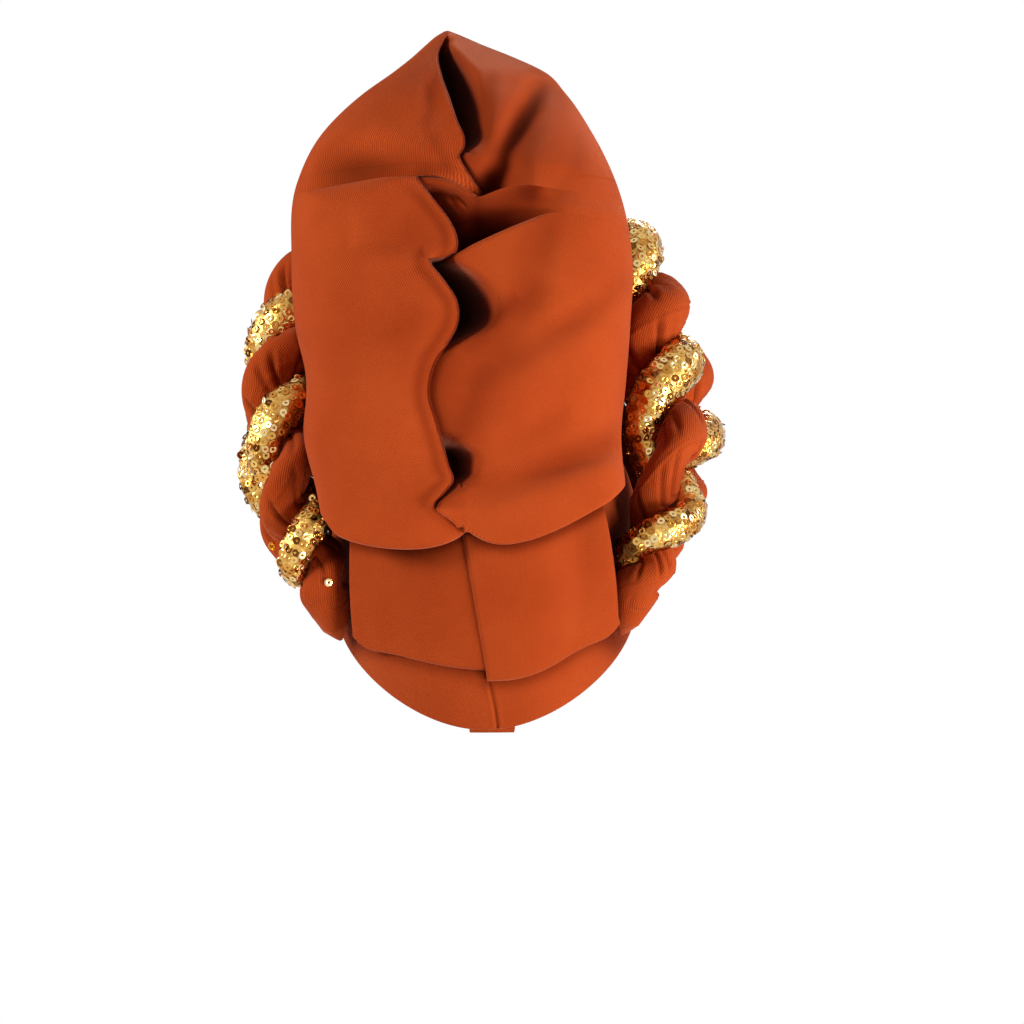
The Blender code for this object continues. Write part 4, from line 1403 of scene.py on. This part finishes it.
def make_band(satin):
    """The forehead band, with soft folds along it and rolled edges."""
    across = np.linspace(-1.0, 1.0, BAND_COLUMNS)
    last = len(BAND_SECTIONS) - 1
    rows = smooth_rows(BAND_SECTIONS, last * (1.0 - np.abs(across)))
    up = dense_ends(BAND_ROWS)[:, None]
    foot = head_point(np.radians(rows[:, 0]), head_level(rows[:, 1]), BAND_OUT)
    one = np.ones_like(across)
    mirror = np.stack([np.where(across < 0.0, -one, one), one, one], 1)
    top, foot = rows[:, 2:5] * mirror, foot * mirror
    grid = foot[None] * (1.0 - up[..., None]) + top[None] * up[..., None]
    away = grid - np.array([0.0, 0.0, -HEAD_RISE])
    away[..., 2] *= BAND_AWAY_RISE
    wander = BAND_FOLDS["wander"] * np.sin(across * BAND_FOLDS["swing"])[None, :]
    fold = BAND_FOLDS["height"] * np.sin(up * BAND_FOLDS["count"] + wander)
    fold = fold * edge_round(0.5, up, BAND_LONG, BAND_FOLDS["high"])
    thick = BAND_THICKNESS * edge_round(0.5 + 0.0 * across[None, :], up, BAND_LONG, BAND_HIGH)
    grid = clear_of_head(grid, BAND_OUT - BAND_SPARE) + unit(away) * (fold + thick)[..., None]
    grid = clear_of_ropes(grid, ROPE_KEEP_OUT)
    band = grid_piece("forehead_band_cloth", grid, False, satin, ["forehead_band"])


def strand_frame(route, off, turns):
    """Middles of a strand, its outward directions and the rope's size at counts of turns."""
    places = along_route(route, "places", turns)
    direction = unit(along_route(route, "direction", turns))
    back = np.array([0.0, -1.0, 0.0])
    facing = unit(back - direction * (direction @ back)[:, None])
    beside = np.cross(direction, facing)
    turn = 2.0 * np.pi * turns[:, None]
    outward = facing * np.cos(turn) + beside * np.sin(turn)
    size = along_route(route, "radius", turns) / ROPE_RADIUS
    return places + outward * (off * size)[:, None], outward, size


def strand_swell(route, off, turns, run):
    """How much wider or narrower a strand is than plain, as its neighbours half a turn away allow."""
    middle = strand_frame(route, off, turns)[0]
    spaces = []
    for away in (-0.5, 0.5):
        beside = strand_frame(route, -off, turns + away)[0] - middle
        spaces.append(np.linalg.norm(np.cross(beside, run), axis=-1))
    return np.clip(np.minimum(*spaces) / STRAND_SPACE, *STRAND_SWELL)


def strand_shape(rows, strand, side, short):
    """The sweep of one strand: turns, middles, outward and sideways directions, size and end share."""
    route = rope_route(rows)
    off = side * strand["off"]
    start, end = rows[0][4] + short, rows[-1][4] - short
    turns = np.linspace(start, end, int((end - start) * strand["rings"]))
    ends = np.minimum(turns - start, end - turns)
    alone = np.zeros_like(turns) if short else ease((GOLD_SHORT - ends) / ALONE_OVER + 0.5)
    middle, outward, size = strand_frame(route, off * (1.0 - alone), turns)
    run = unit(np.gradient(middle, axis=0))
    across = unit(np.cross(run, outward))
    swell = strand_swell(route, off, turns, run)
    tip = np.sqrt(np.clip(ends / STRAND_TIP, STRAND_TIP_LEAST, 1.0))
    return dict(turns=turns, middle=middle, outward=outward, across=across, size=size * tip, alone=alone,
                swell=swell)


def strand_surface(shape, strand, turn, height):
    """Points of a strand at angles round it, raised by a height. Both are rings by sides."""
    radial = between(strand["radial"], ROPE_RADIUS, shape["alone"])[:, None] + height
    aside = between(strand["aside"] * shape["swell"], ROPE_RADIUS, shape["alone"])[:, None] + height
    size = shape["size"][:, None]
    out = (radial * size * np.cos(turn))[..., None] * shape["outward"][:, None, :]
    side = (aside * size * np.sin(turn))[..., None] * shape["across"][:, None, :]
    return shape["middle"][:, None, :] + out + side


def wrapped(angle):
    """Angles brought to between half a turn back and half a turn on."""
    return (angle + np.pi) % (2.0 * np.pi) - np.pi


def angle_round_rope(shape, strand, turn):
    """How far round its rope each point of a strand lies, in radians from the back."""
    around = 2.0 * np.pi * shape["turns"][:, None]
    ahead = np.gradient(shape["outward"], axis=0)
    tangent = unit(ahead - shape["outward"] * np.sum(ahead * shape["outward"], axis=1, keepdims=True))
    leaning = np.sum(shape["across"] * tangent, axis=1)[:, None]
    away = np.abs(strand["off"]) * (1.0 - shape["alone"])[:, None] + strand["radial"] * np.cos(turn)
    return around + np.arctan2(leaning * strand["aside"] * np.sin(turn), np.maximum(away, PLEAT_LEAST_AWAY))


def pleat_height(shape, strand, turn, phase):
    """The height and the painted shade of a strand's sharp pleats, which fade towards its middle, and its
    seam.
    """
    turns = shape["turns"][:, None]
    along = 2.0 * np.pi * turns
    wander = np.sin(PLEATS["waves"] * along + PLEATS["phase"] * phase)
    around = angle_round_rope(shape, strand, turn) + PLEATS["wander"] * wander
    place = around * PLEATS["count"] / (2.0 * np.pi)
    line = np.round(place)
    change = PLEAT_STRENGTH["change"] * np.sin(PLEAT_STRENGTH["turn"] * line + phase)
    strong = np.clip(PLEAT_STRENGTH["middle"] + change, 0.0, 1.0)
    strong = strong * rising(np.abs(turn), PLEATS)
    strong = strong * (1.0 - PLEATS["alone"] * shape["alone"])[:, None]
    near = fading(place - line, PLEATS["width"])
    ridge = np.cos(np.pi * (place - line))**2 - 0.5
    height = -strong * (PLEATS["depth"] * near + PLEATS["swell"] * ridge)
    # Painted shadow of the strand's neighbours
    contact = STRAND_SHADE["most"] * rising(np.abs(turn), STRAND_SHADE)
    shade = together(PLEATS["shade"] * strong * near, contact)
    seam = wrapped(turn - PIPING["place"] - PIPING["drift"] * np.sin(turns * PIPING["waves"] + phase))
    pucker = 1.0 + PIPING["pucker"] * np.sin(PIPING["puckers"] * along)
    edges = fading(np.abs(seam) - PIPING["width"], 0.5 * PIPING["width"])
    groove = PIPING["groove"] * fading(seam, 0.4 * PIPING["width"])
    height = height + PIPING["height"] * edges * pucker - groove
    return height, shade * (1.0 - shape["alone"])[:, None]


def crown_shade(points):
    """How dark the crown's painted shadow makes each place on a rope beside it."""
    x, z = points[..., 0], points[..., 2]
    left, right = spline(CROWN_SECTIONS, z, 1), spline(CROWN_SECTIONS, z, 2)
    clear = np.maximum(np.maximum(left - x, x - right), 0.0)
    below = np.maximum(HEM_Z - z, 0.0)
    return shadow(CROWN_SHADE, clear) * fading(below, CROWN_SHADE["behind"])


def make_ropes(satin, gold):
    """The satin and the gold strand of both ropes."""
    kinds = (("satin", SATIN, -1.0, 0.0, satin), ("gold", GOLD, 1.0, GOLD_SHORT, gold))
    for rope, (rows, phase) in ROPES.items():
        for kind, strand, side, short, cloth in kinds:
            shape = strand_shape(rows, strand, side, short)
            turns = shape["turns"][:, None]
            sides = 2.0 * np.pi * (np.arange(strand["sides"]) + 0.5) / strand["sides"]
            turn = sides[None, :] + (math.pi if side < 0.0 else 0.0) + 0.0 * turns
            if kind == "satin":
                height, shade = pleat_height(shape, strand, wrapped(sides)[None, :] + 0.0 * turn, phase)
            else:
                waves = np.sin(GOLD_WAVES["round"] * turn + GOLD_WAVES["twist"] * turns)
                height = GOLD_WAVES["height"] * waves * np.sin(GOLD_WAVES["along"] * turns)
                shade = 0.0 * turn
            grid = strand_surface(shape, strand, turn, height)
            name = rope + "_" + kind
            piece = grid_piece(name + "_cloth", grid, True, cloth, [name], caps=True, strand=True)
            # Painted shade of the pleats and neighbours, with the crown's painted shadow
            add_shade(piece, together(shade, crown_shade(grid)))


def sequin_centres(shape, space, draw):
    """Ring numbers and angles of the sequins' centres, in staggered rows round the outside of a strand."""
    steps = np.linalg.norm(np.diff(shape["middle"], axis=0), axis=1)
    lengths = np.concatenate([[0.0], np.cumsum(steps)])
    centres = []
    for i, along in enumerate(np.arange(space / 2.0, lengths[-1], space * SEQUIN_ROW_SPACE)):
        k = min(int(np.searchsorted(lengths, along)), len(lengths) - 2)
        count = max(int(2.0 * SEQUIN_REACH * GOLD["radial"] * shape["size"][k] / space), 1)
        for j in range(count):
            place = j + 0.5 * (i % 2) + draw.uniform(-SEQUIN_DRIFT[0], SEQUIN_DRIFT[0])
            turn = SEQUIN_REACH * (2.0 * place / count - 1.0)
            centres.append((k, turn + draw.uniform(-SEQUIN_DRIFT[1], SEQUIN_DRIFT[1])))
    return np.array([k for k, _ in centres]), np.array([turn for _, turn in centres])[:, None]


def sequin_rings(places, normal, reach):
    """Points of a dished ring at each place, facing along its normal."""
    aside = unit(np.cross(normal, SEQUIN_LEAN))
    beside = np.cross(normal, aside)
    turn = (2.0 * np.pi * np.arange(SEQUIN_SIDES) / SEQUIN_SIDES)[None, :, None]
    points = []
    for share, height in SEQUIN_PROFILE:
        ring = aside[:, None, :] * np.cos(turn) + beside[:, None, :] * np.sin(turn)
        points.append(places[:, None, :] + ring * reach * share + normal[:, None, :] * reach * height)
    return np.stack(points, 1).reshape(-1, 3)


def make_sequins(material, settings):
    """A joined mesh of small dished rings on the outside of each gold strand, and a few loose ones."""
    draw = random.Random(SEQUIN_SEED)
    one = len(SEQUIN_PROFILE) * SEQUIN_SIDES
    pattern = grid_faces(len(SEQUIN_PROFILE), SEQUIN_SIDES, True)
    for rope, (rows, _) in ROPES.items():
        shape = strand_shape(rows, GOLD, 1.0, GOLD_SHORT)
        rings, turns = sequin_centres(shape, settings.sequin_spacing / MM, draw)
        part = {key: value[rings] for key, value in shape.items()}
        lift = SEQUIN_LIFT[0] + SEQUIN_LIFT[1] * np.array([[draw.random()] for _ in rings])
        places = strand_surface(part, GOLD, turns, lift)[:, 0]
        normal = unit(part["outward"] * np.cos(turns) + part["across"] * np.sin(turns))
        loose = np.array(LOOSE_SEQUINS[rope])
        places = np.vstack([places, loose])
        normal = np.vstack([normal, 0.0 * loose + LOOSE_FACING])
        tilt = np.array([[draw.gauss(0.0, 1.0) for _ in range(3)] for _ in places]) * settings.sequin_tilt
        points = sequin_rings(places, unit(normal + tilt), settings.sequin_diameter / MM / 2.0)
        faces = (np.arange(len(places))[:, None, None] * one + pattern[None]).reshape(-1, 4)
        piece = make_piece(rope + "_sequins", points, faces, material)
        # Random tone for each sequin, darkened by the crown's painted shadow
        tones = np.array([draw.random() for _ in places]) * (1.0 - crown_shade(places))
        values = np.ones((len(points), 4))
        values[:, :3] = np.repeat(tones, one)[:, None]
        colour = piece.data.color_attributes.new("tone", "FLOAT_COLOR", "POINT")
        colour.data.foreach_set("color", values.ravel())


def add_node(tree, kind, inputs=None, **settings):
    """A shader node. Each input is set to a value, or linked where the value is another node's output."""
    node = tree.nodes.new("ShaderNode" + kind)
    for key, value in settings.items():
        setattr(node, key, value)
    fill_inputs(tree, node, inputs or {})
    return node


def fill_inputs(tree, node, inputs):
    """Sets or links a node's inputs."""
    for key, value in inputs.items():
        if isinstance(value, bpy.types.NodeSocket):
            tree.links.new(value, node.inputs[key])
        else:
            node.inputs[key].default_value = value


def noise(tree, scale, detail):
    """The value of a noise texture fixed to the piece."""
    place = add_node(tree, "TexCoord").outputs["Object"]
    return add_node(tree, "TexNoise", {"Vector": place, "Scale": scale, "Detail": detail}).outputs["Fac"]


def ramp(tree, value, stops):
    """Colours along a value. Each stop is a place from 0 to 1 and a colour."""
    node = add_node(tree, "ValToRGB", {"Fac": value})
    elements = node.color_ramp.elements
    for element, (place, colour) in zip(elements, (stops[0], stops[-1])):
        element.position = place
        element.color = (*colour, 1.0)
    for place, colour in stops[1:-1]:
        elements.new(place).color = (*colour, 1.0)
    return node.outputs["Color"]


def mix(tree, share, first, second, **settings):
    """A mix of two colours or values by a share."""
    inputs = {"Factor": share, "A": first, "B": second}
    return add_node(tree, "Mix", inputs, **settings).outputs["Result"]


def noted(tree, name):
    """The value that the mesh notes for each point under a name."""
    return add_node(tree, "Attribute", attribute_name=name).outputs["Fac"]


def bumped(tree, height, strength, distance):
    """A normal from a height."""
    inputs = {"Height": height, "Strength": strength, "Distance": distance}
    return add_node(tree, "Bump", inputs).outputs["Normal"]


def shares(colour, share):
    """A colour with each channel times its own share."""
    return [channel * part for channel, part in zip(colour, share)]


def toned(colour, rows):
    """Stops of a ramp from rows of a place and shares of a colour."""
    return [(place, shares(colour, share)) for place, share in rows]


def new_material(name, recipe):
    """A material whose shader inputs come from a recipe, a function of the node tree."""
    material = bpy.data.materials.new(name)
    material.use_nodes = True
    tree = material.node_tree
    fill_inputs(tree, tree.nodes["Principled BSDF"], recipe(tree))
    return material


def weave_group():
    """Twill weave as a node group: a height for the bump and a mask of the raised threads."""
    group = bpy.data.node_groups.get("twill_weave")
    if group:
        return group
    group = bpy.data.node_groups.new("twill_weave", "ShaderNodeTree")
    for side, names in (("INPUT", ("Thread Scale", "Grain Scale")), ("OUTPUT", ("Height", "Threads"))):
        for name in names:
            group.interface.new_socket(name, in_out=side, socket_type="NodeSocketFloat")
    given = group.nodes.new("NodeGroupInput")
    along = add_node(group, "Attribute", attribute_name="weave_place").outputs["Vector"]
    twill = {"Vector": along, "Scale": given.outputs["Thread Scale"], **TWILL_WAVE}
    threads = add_node(group, "TexWave", twill, bands_direction="DIAGONAL").outputs["Fac"]
    grain = noise(group, given.outputs["Grain Scale"], 2.0)
    height = add_node(group, "Math", {0: threads, 1: 0.5, 2: grain}, operation="MULTIPLY_ADD").outputs[0]
    fill_inputs(group, group.nodes.new("NodeGroupOutput"), {"Height": height, "Threads": threads})
    return group


def satin_material(part, settings):
    """Heavy satin: a fine twill, soft mottling and a wide sheen, dark and dull where shade is painted."""
    colour = [channel * SATIN_PAINTED_LIGHT[part] for channel in settings.satin_colour]

    def recipe(tree):
        scales = {"Thread Scale": TWILL_LINES / settings.weave_pitch, "Grain Scale": SATIN_GRAIN}
        weave = add_node(tree, "Group", scales, node_tree=weave_group())
        mottle = noise(tree, *SATIN_MOTTLE)
        cloth = ramp(tree, mottle, toned(colour, SATIN_TONES))
        threads = weave.outputs["Threads"]
        cloth = mix(tree, threads, cloth, THREAD_TINT, data_type="RGBA", blend_type="MULTIPLY")
        # Painted shade darkens the satin's colour and dulls its shine
        deep = noted(tree, "painted_shade")
        dark = (*shares(colour, PAINTED_SHADE_SATIN), 1.0)
        low, high = (settings.satin_roughness + change for change in SATIN_ROUGH_SPREAD)
        rough = add_node(tree, "MapRange", {"Value": mottle, "To Min": low, "To Max": high}).outputs["Result"]
        return {
            "Base Color": mix(tree, deep, cloth, dark, data_type="RGBA"),
            "Roughness": mix(tree, deep, rough, PAINTED_SHADE_ROUGHNESS),
            "Normal": bumped(tree, weave.outputs["Height"], *SATIN_BUMP),
            "Specular IOR Level": 0.0,
            "Sheen Weight": 0.36,
            "Sheen Roughness": 0.35,
            "Sheen Tint": (1.0, 0.42, 0.28, 1.0),
        }

    return new_material(part + "_satin", recipe)


def gold_material(settings):
    """Shiny crumpled gold cloth under the sequins, with painted shade where other pieces shade it."""
    def recipe(tree):
        crumple = noise(tree, *GOLD_CRUMPLE)
        gold = ramp(tree, crumple, toned(settings.gold_colour, GOLD_TONES))
        return {
            "Base Color": mix(tree, noted(tree, "painted_shade"), gold, PAINTED_SHADE_GOLD, data_type="RGBA"),
            "Normal": bumped(tree, crumple, *GOLD_BUMP),
            "Metallic": 0.85,
            "Roughness": 0.34,
        }

    return new_material("gold_cloth", recipe)


def sequin_material(settings):
    """Mirror-like gold rings, each of its own tone, with painted reflections, glints and shadow."""
    def recipe(tree):
        stops = toned(settings.gold_colour, SEQUIN_TONES) + [(1.0, SEQUIN_GLINT)]
        colour = ramp(tree, noted(tree, "tone"), stops)
        return {"Base Color": colour, "Metallic": 1.0, "Roughness": 0.16}

    return new_material("sequin_gold", recipe)


def floor_material():
    """Pale and dull, fading out towards its edge."""
    def recipe(tree):
        place = add_node(tree, "TexCoord").outputs["Object"]
        size = add_node(tree, "VectorMath", {0: place}, operation="LENGTH").outputs["Value"]
        first, last = (FLOOR_SIZE * share for share in FLOOR_FADE)
        fade = {"Value": size, "From Min": first, "From Max": last, "To Min": 1.0, "To Max": 0.0}
        alpha = add_node(tree, "MapRange", fade, interpolation_type="SMOOTHSTEP").outputs["Result"]
        return {"Base Color": (*FLOOR_COLOUR, 1.0), "Roughness": 0.9, "Alpha": alpha}

    return new_material("pale_floor", recipe)


def studio_world():
    """A white studio: bright where the camera looks at it, less so in reflections, and dim as a light."""
    world = bpy.data.worlds.new("studio")
    world.use_nodes = True
    tree = world.node_tree
    path = add_node(tree, "LightPath").outputs
    shine = {0: path["Is Glossy Ray"], 1: WORLD_SHINE, 2: WORLD_STRENGTH}
    strength = add_node(tree, "Math", shine, operation="MULTIPLY_ADD").outputs[0]
    dim = tree.nodes["Background"]
    fill_inputs(tree, dim, {"Color": WORLD_COLOUR, "Strength": strength})
    white = add_node(tree, "Background", {"Color": WORLD_COLOUR})
    both = {"Fac": path["Is Camera Ray"], 1: dim.outputs[0], 2: white.outputs[0]}
    fill_inputs(tree, tree.nodes["World Output"], {"Surface": add_node(tree, "MixShader", both).outputs[0]})
    return world


def add_light(name, place, size, power):
    """A round soft light that looks at the hat."""
    light = bpy.data.lights.new(name, "AREA")
    light.shape = "DISK"
    light.size = size
    light.energy = power
    lamp = bpy.data.objects.new(name, light)
    lamp.location = place
    lamp.rotation_euler = (-Vector(place)).to_track_quat("-Z", "Y").to_euler()
    bpy.context.scene.collection.objects.link(lamp)


class HatCloth(bpy.types.PropertyGroup):
    """Colours and finish of the hat's cloth."""

    satin_colour: FloatVectorProperty(name="Satin", description="Colour of the satin", subtype="COLOR",
                                      size=3, min=0.0, max=1.0, default=(0.45, 0.0685, 0.0145))
    gold_colour: FloatVectorProperty(name="Gold", description="Colour of the gold cloth and sequins",
                                     subtype="COLOR", size=3, min=0.0, max=1.0, default=(0.86, 0.52, 0.13))
    satin_roughness: FloatProperty(name="Satin Roughness", description="How dull the satin's shine is",
                                   subtype="FACTOR", min=0.1, max=0.9, default=0.5)
    weave_pitch: FloatProperty(name="Weave Pitch", description="Distance from one twill line to the next",
                               unit="LENGTH", min=0.0002, max=0.003, default=0.0008)


class HatTrim(bpy.types.PropertyGroup):
    """Sequins of the gold strands."""

    sequin_diameter: FloatProperty(name="Sequin Diameter", description="Across one sequin", unit="LENGTH",
                                   min=0.002, max=0.008, default=0.004)
    sequin_spacing: FloatProperty(name="Sequin Spacing", description="From one sequin to the next",
                                  unit="LENGTH", min=0.003, max=0.01, default=0.0038)
    sequin_tilt: FloatProperty(name="Sequin Tilt", description="How unevenly the sequins lie",
                               subtype="FACTOR", min=0.0, max=1.0, default=0.22)


class HatStage(bpy.types.PropertyGroup):
    """Floor and light around the hat."""

    floor_drop: FloatProperty(name="Floor Drop", description="From the hat's lowest edge down to the floor",
                              unit="LENGTH", min=0.0, max=2.0, default=0.35)
    light_power: FloatProperty(name="Light Power", description="Strength of the main soft lights",
                               unit="POWER", min=0.0, max=500.0, default=33.0)


class HAT_OT_crown(bpy.types.Operator):
    """Make the tall folded crown"""

    bl_idname = "hat.crown"
    bl_label = "Crown"

    def execute(self, context):
        make_crown(satin_material("crown", context.scene.hat_cloth))
        return {"FINISHED"}


class HAT_OT_cap(bpy.types.Operator):
    """Make the close cap, the hem ends at its nape, the back panels and the forehead band"""

    bl_idname = "hat.cap"
    bl_label = "Cap, Panels and Band"

    def execute(self, context):
        satin = satin_material("cap", context.scene.hat_cloth)
        make_cap(satin)
        make_tab(satin)
        make_panels(satin)
        make_band(satin)
        return {"FINISHED"}


class HAT_OT_ropes(bpy.types.Operator):
    """Make the twisted ropes of satin and gold cloth"""

    bl_idname = "hat.ropes"
    bl_label = "Ropes"

    def execute(self, context):
        cloth = context.scene.hat_cloth
        make_ropes(satin_material("rope", cloth), gold_material(cloth))
        return {"FINISHED"}


class HAT_OT_sequins(bpy.types.Operator):
    """Cover the gold strands with sequins"""

    bl_idname = "hat.sequins"
    bl_label = "Sequins"

    def execute(self, context):
        make_sequins(sequin_material(context.scene.hat_cloth), context.scene.hat_trim)
        return {"FINISHED"}


class HAT_OT_stage(bpy.types.Operator):
    """Make the pale floor, the soft lights and the camera"""

    bl_idname = "hat.stage"
    bl_label = "Stage"

    def execute(self, context):
        settings = context.scene.hat_stage
        low = cad_box[0][2] - settings.floor_drop
        mesh = bpy.data.meshes.new("floor")
        half = FLOOR_SIZE / 2.0
        corners = [(-half, -half, 0.0), (half, -half, 0.0), (half, half, 0.0), (-half, half, 0.0)]
        mesh.from_pydata(corners, [], [(0, 1, 2, 3)])
        mesh.materials.append(floor_material())
        floor = bpy.data.objects.new("floor", mesh)
        floor.location = (0.0, 0.0, low)
        context.scene.collection.objects.link(floor)
        context.scene.world = studio_world()
        context.scene.view_settings.view_transform = "Standard"
        for name, place, size, share in LIGHTS:
            add_light(name, place, size, settings.light_power * share)
        camera = bpy.data.cameras.new("camera")
        camera.lens = CAMERA_LENS
        camera.sensor_width = CAMERA_SENSOR
        viewer = bpy.data.objects.new("camera", camera)
        viewer.location = CAMERA_PLACE
        viewer.rotation_euler = (math.radians(90.0), 0.0, 0.0)
        context.scene.collection.objects.link(viewer)
        context.scene.camera = viewer
        return {"FINISHED"}


class HAT_PT_maker(bpy.types.Panel):
    """Buttons and settings for the hat"""

    bl_idname = "HAT_PT_maker"
    bl_label = "Turban Hat"
    bl_space_type = "VIEW_3D"
    bl_region_type = "UI"
    bl_category = "Hat"

    def draw(self, context):
        layout = self.layout
        for maker in OPERATORS:
            layout.operator(maker.bl_idname)
        for settings in (context.scene.hat_cloth, context.scene.hat_trim, context.scene.hat_stage):
            for key in settings.__annotations__:
                layout.prop(settings, key)


OPERATORS = (HAT_OT_stage, HAT_OT_crown, HAT_OT_cap, HAT_OT_ropes, HAT_OT_sequins)
CLASSES = (HatCloth, HatTrim, HatStage, *OPERATORS, HAT_PT_maker)


def register():
    for made in CLASSES:
        bpy.utils.register_class(made)
    bpy.types.Scene.hat_cloth = PointerProperty(type=HatCloth)
    bpy.types.Scene.hat_trim = PointerProperty(type=HatTrim)
    bpy.types.Scene.hat_stage = PointerProperty(type=HatStage)


def unregister():
    del bpy.types.Scene.hat_stage
    del bpy.types.Scene.hat_trim
    del bpy.types.Scene.hat_cloth
    for made in reversed(CLASSES):
        bpy.utils.unregister_class(made)


def main():
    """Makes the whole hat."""
    register()
    bpy.ops.hat.stage()
    bpy.ops.hat.crown()
    bpy.ops.hat.cap()
    bpy.ops.hat.ropes()
    bpy.ops.hat.sequins()


if __name__ == "__main__":
    main()
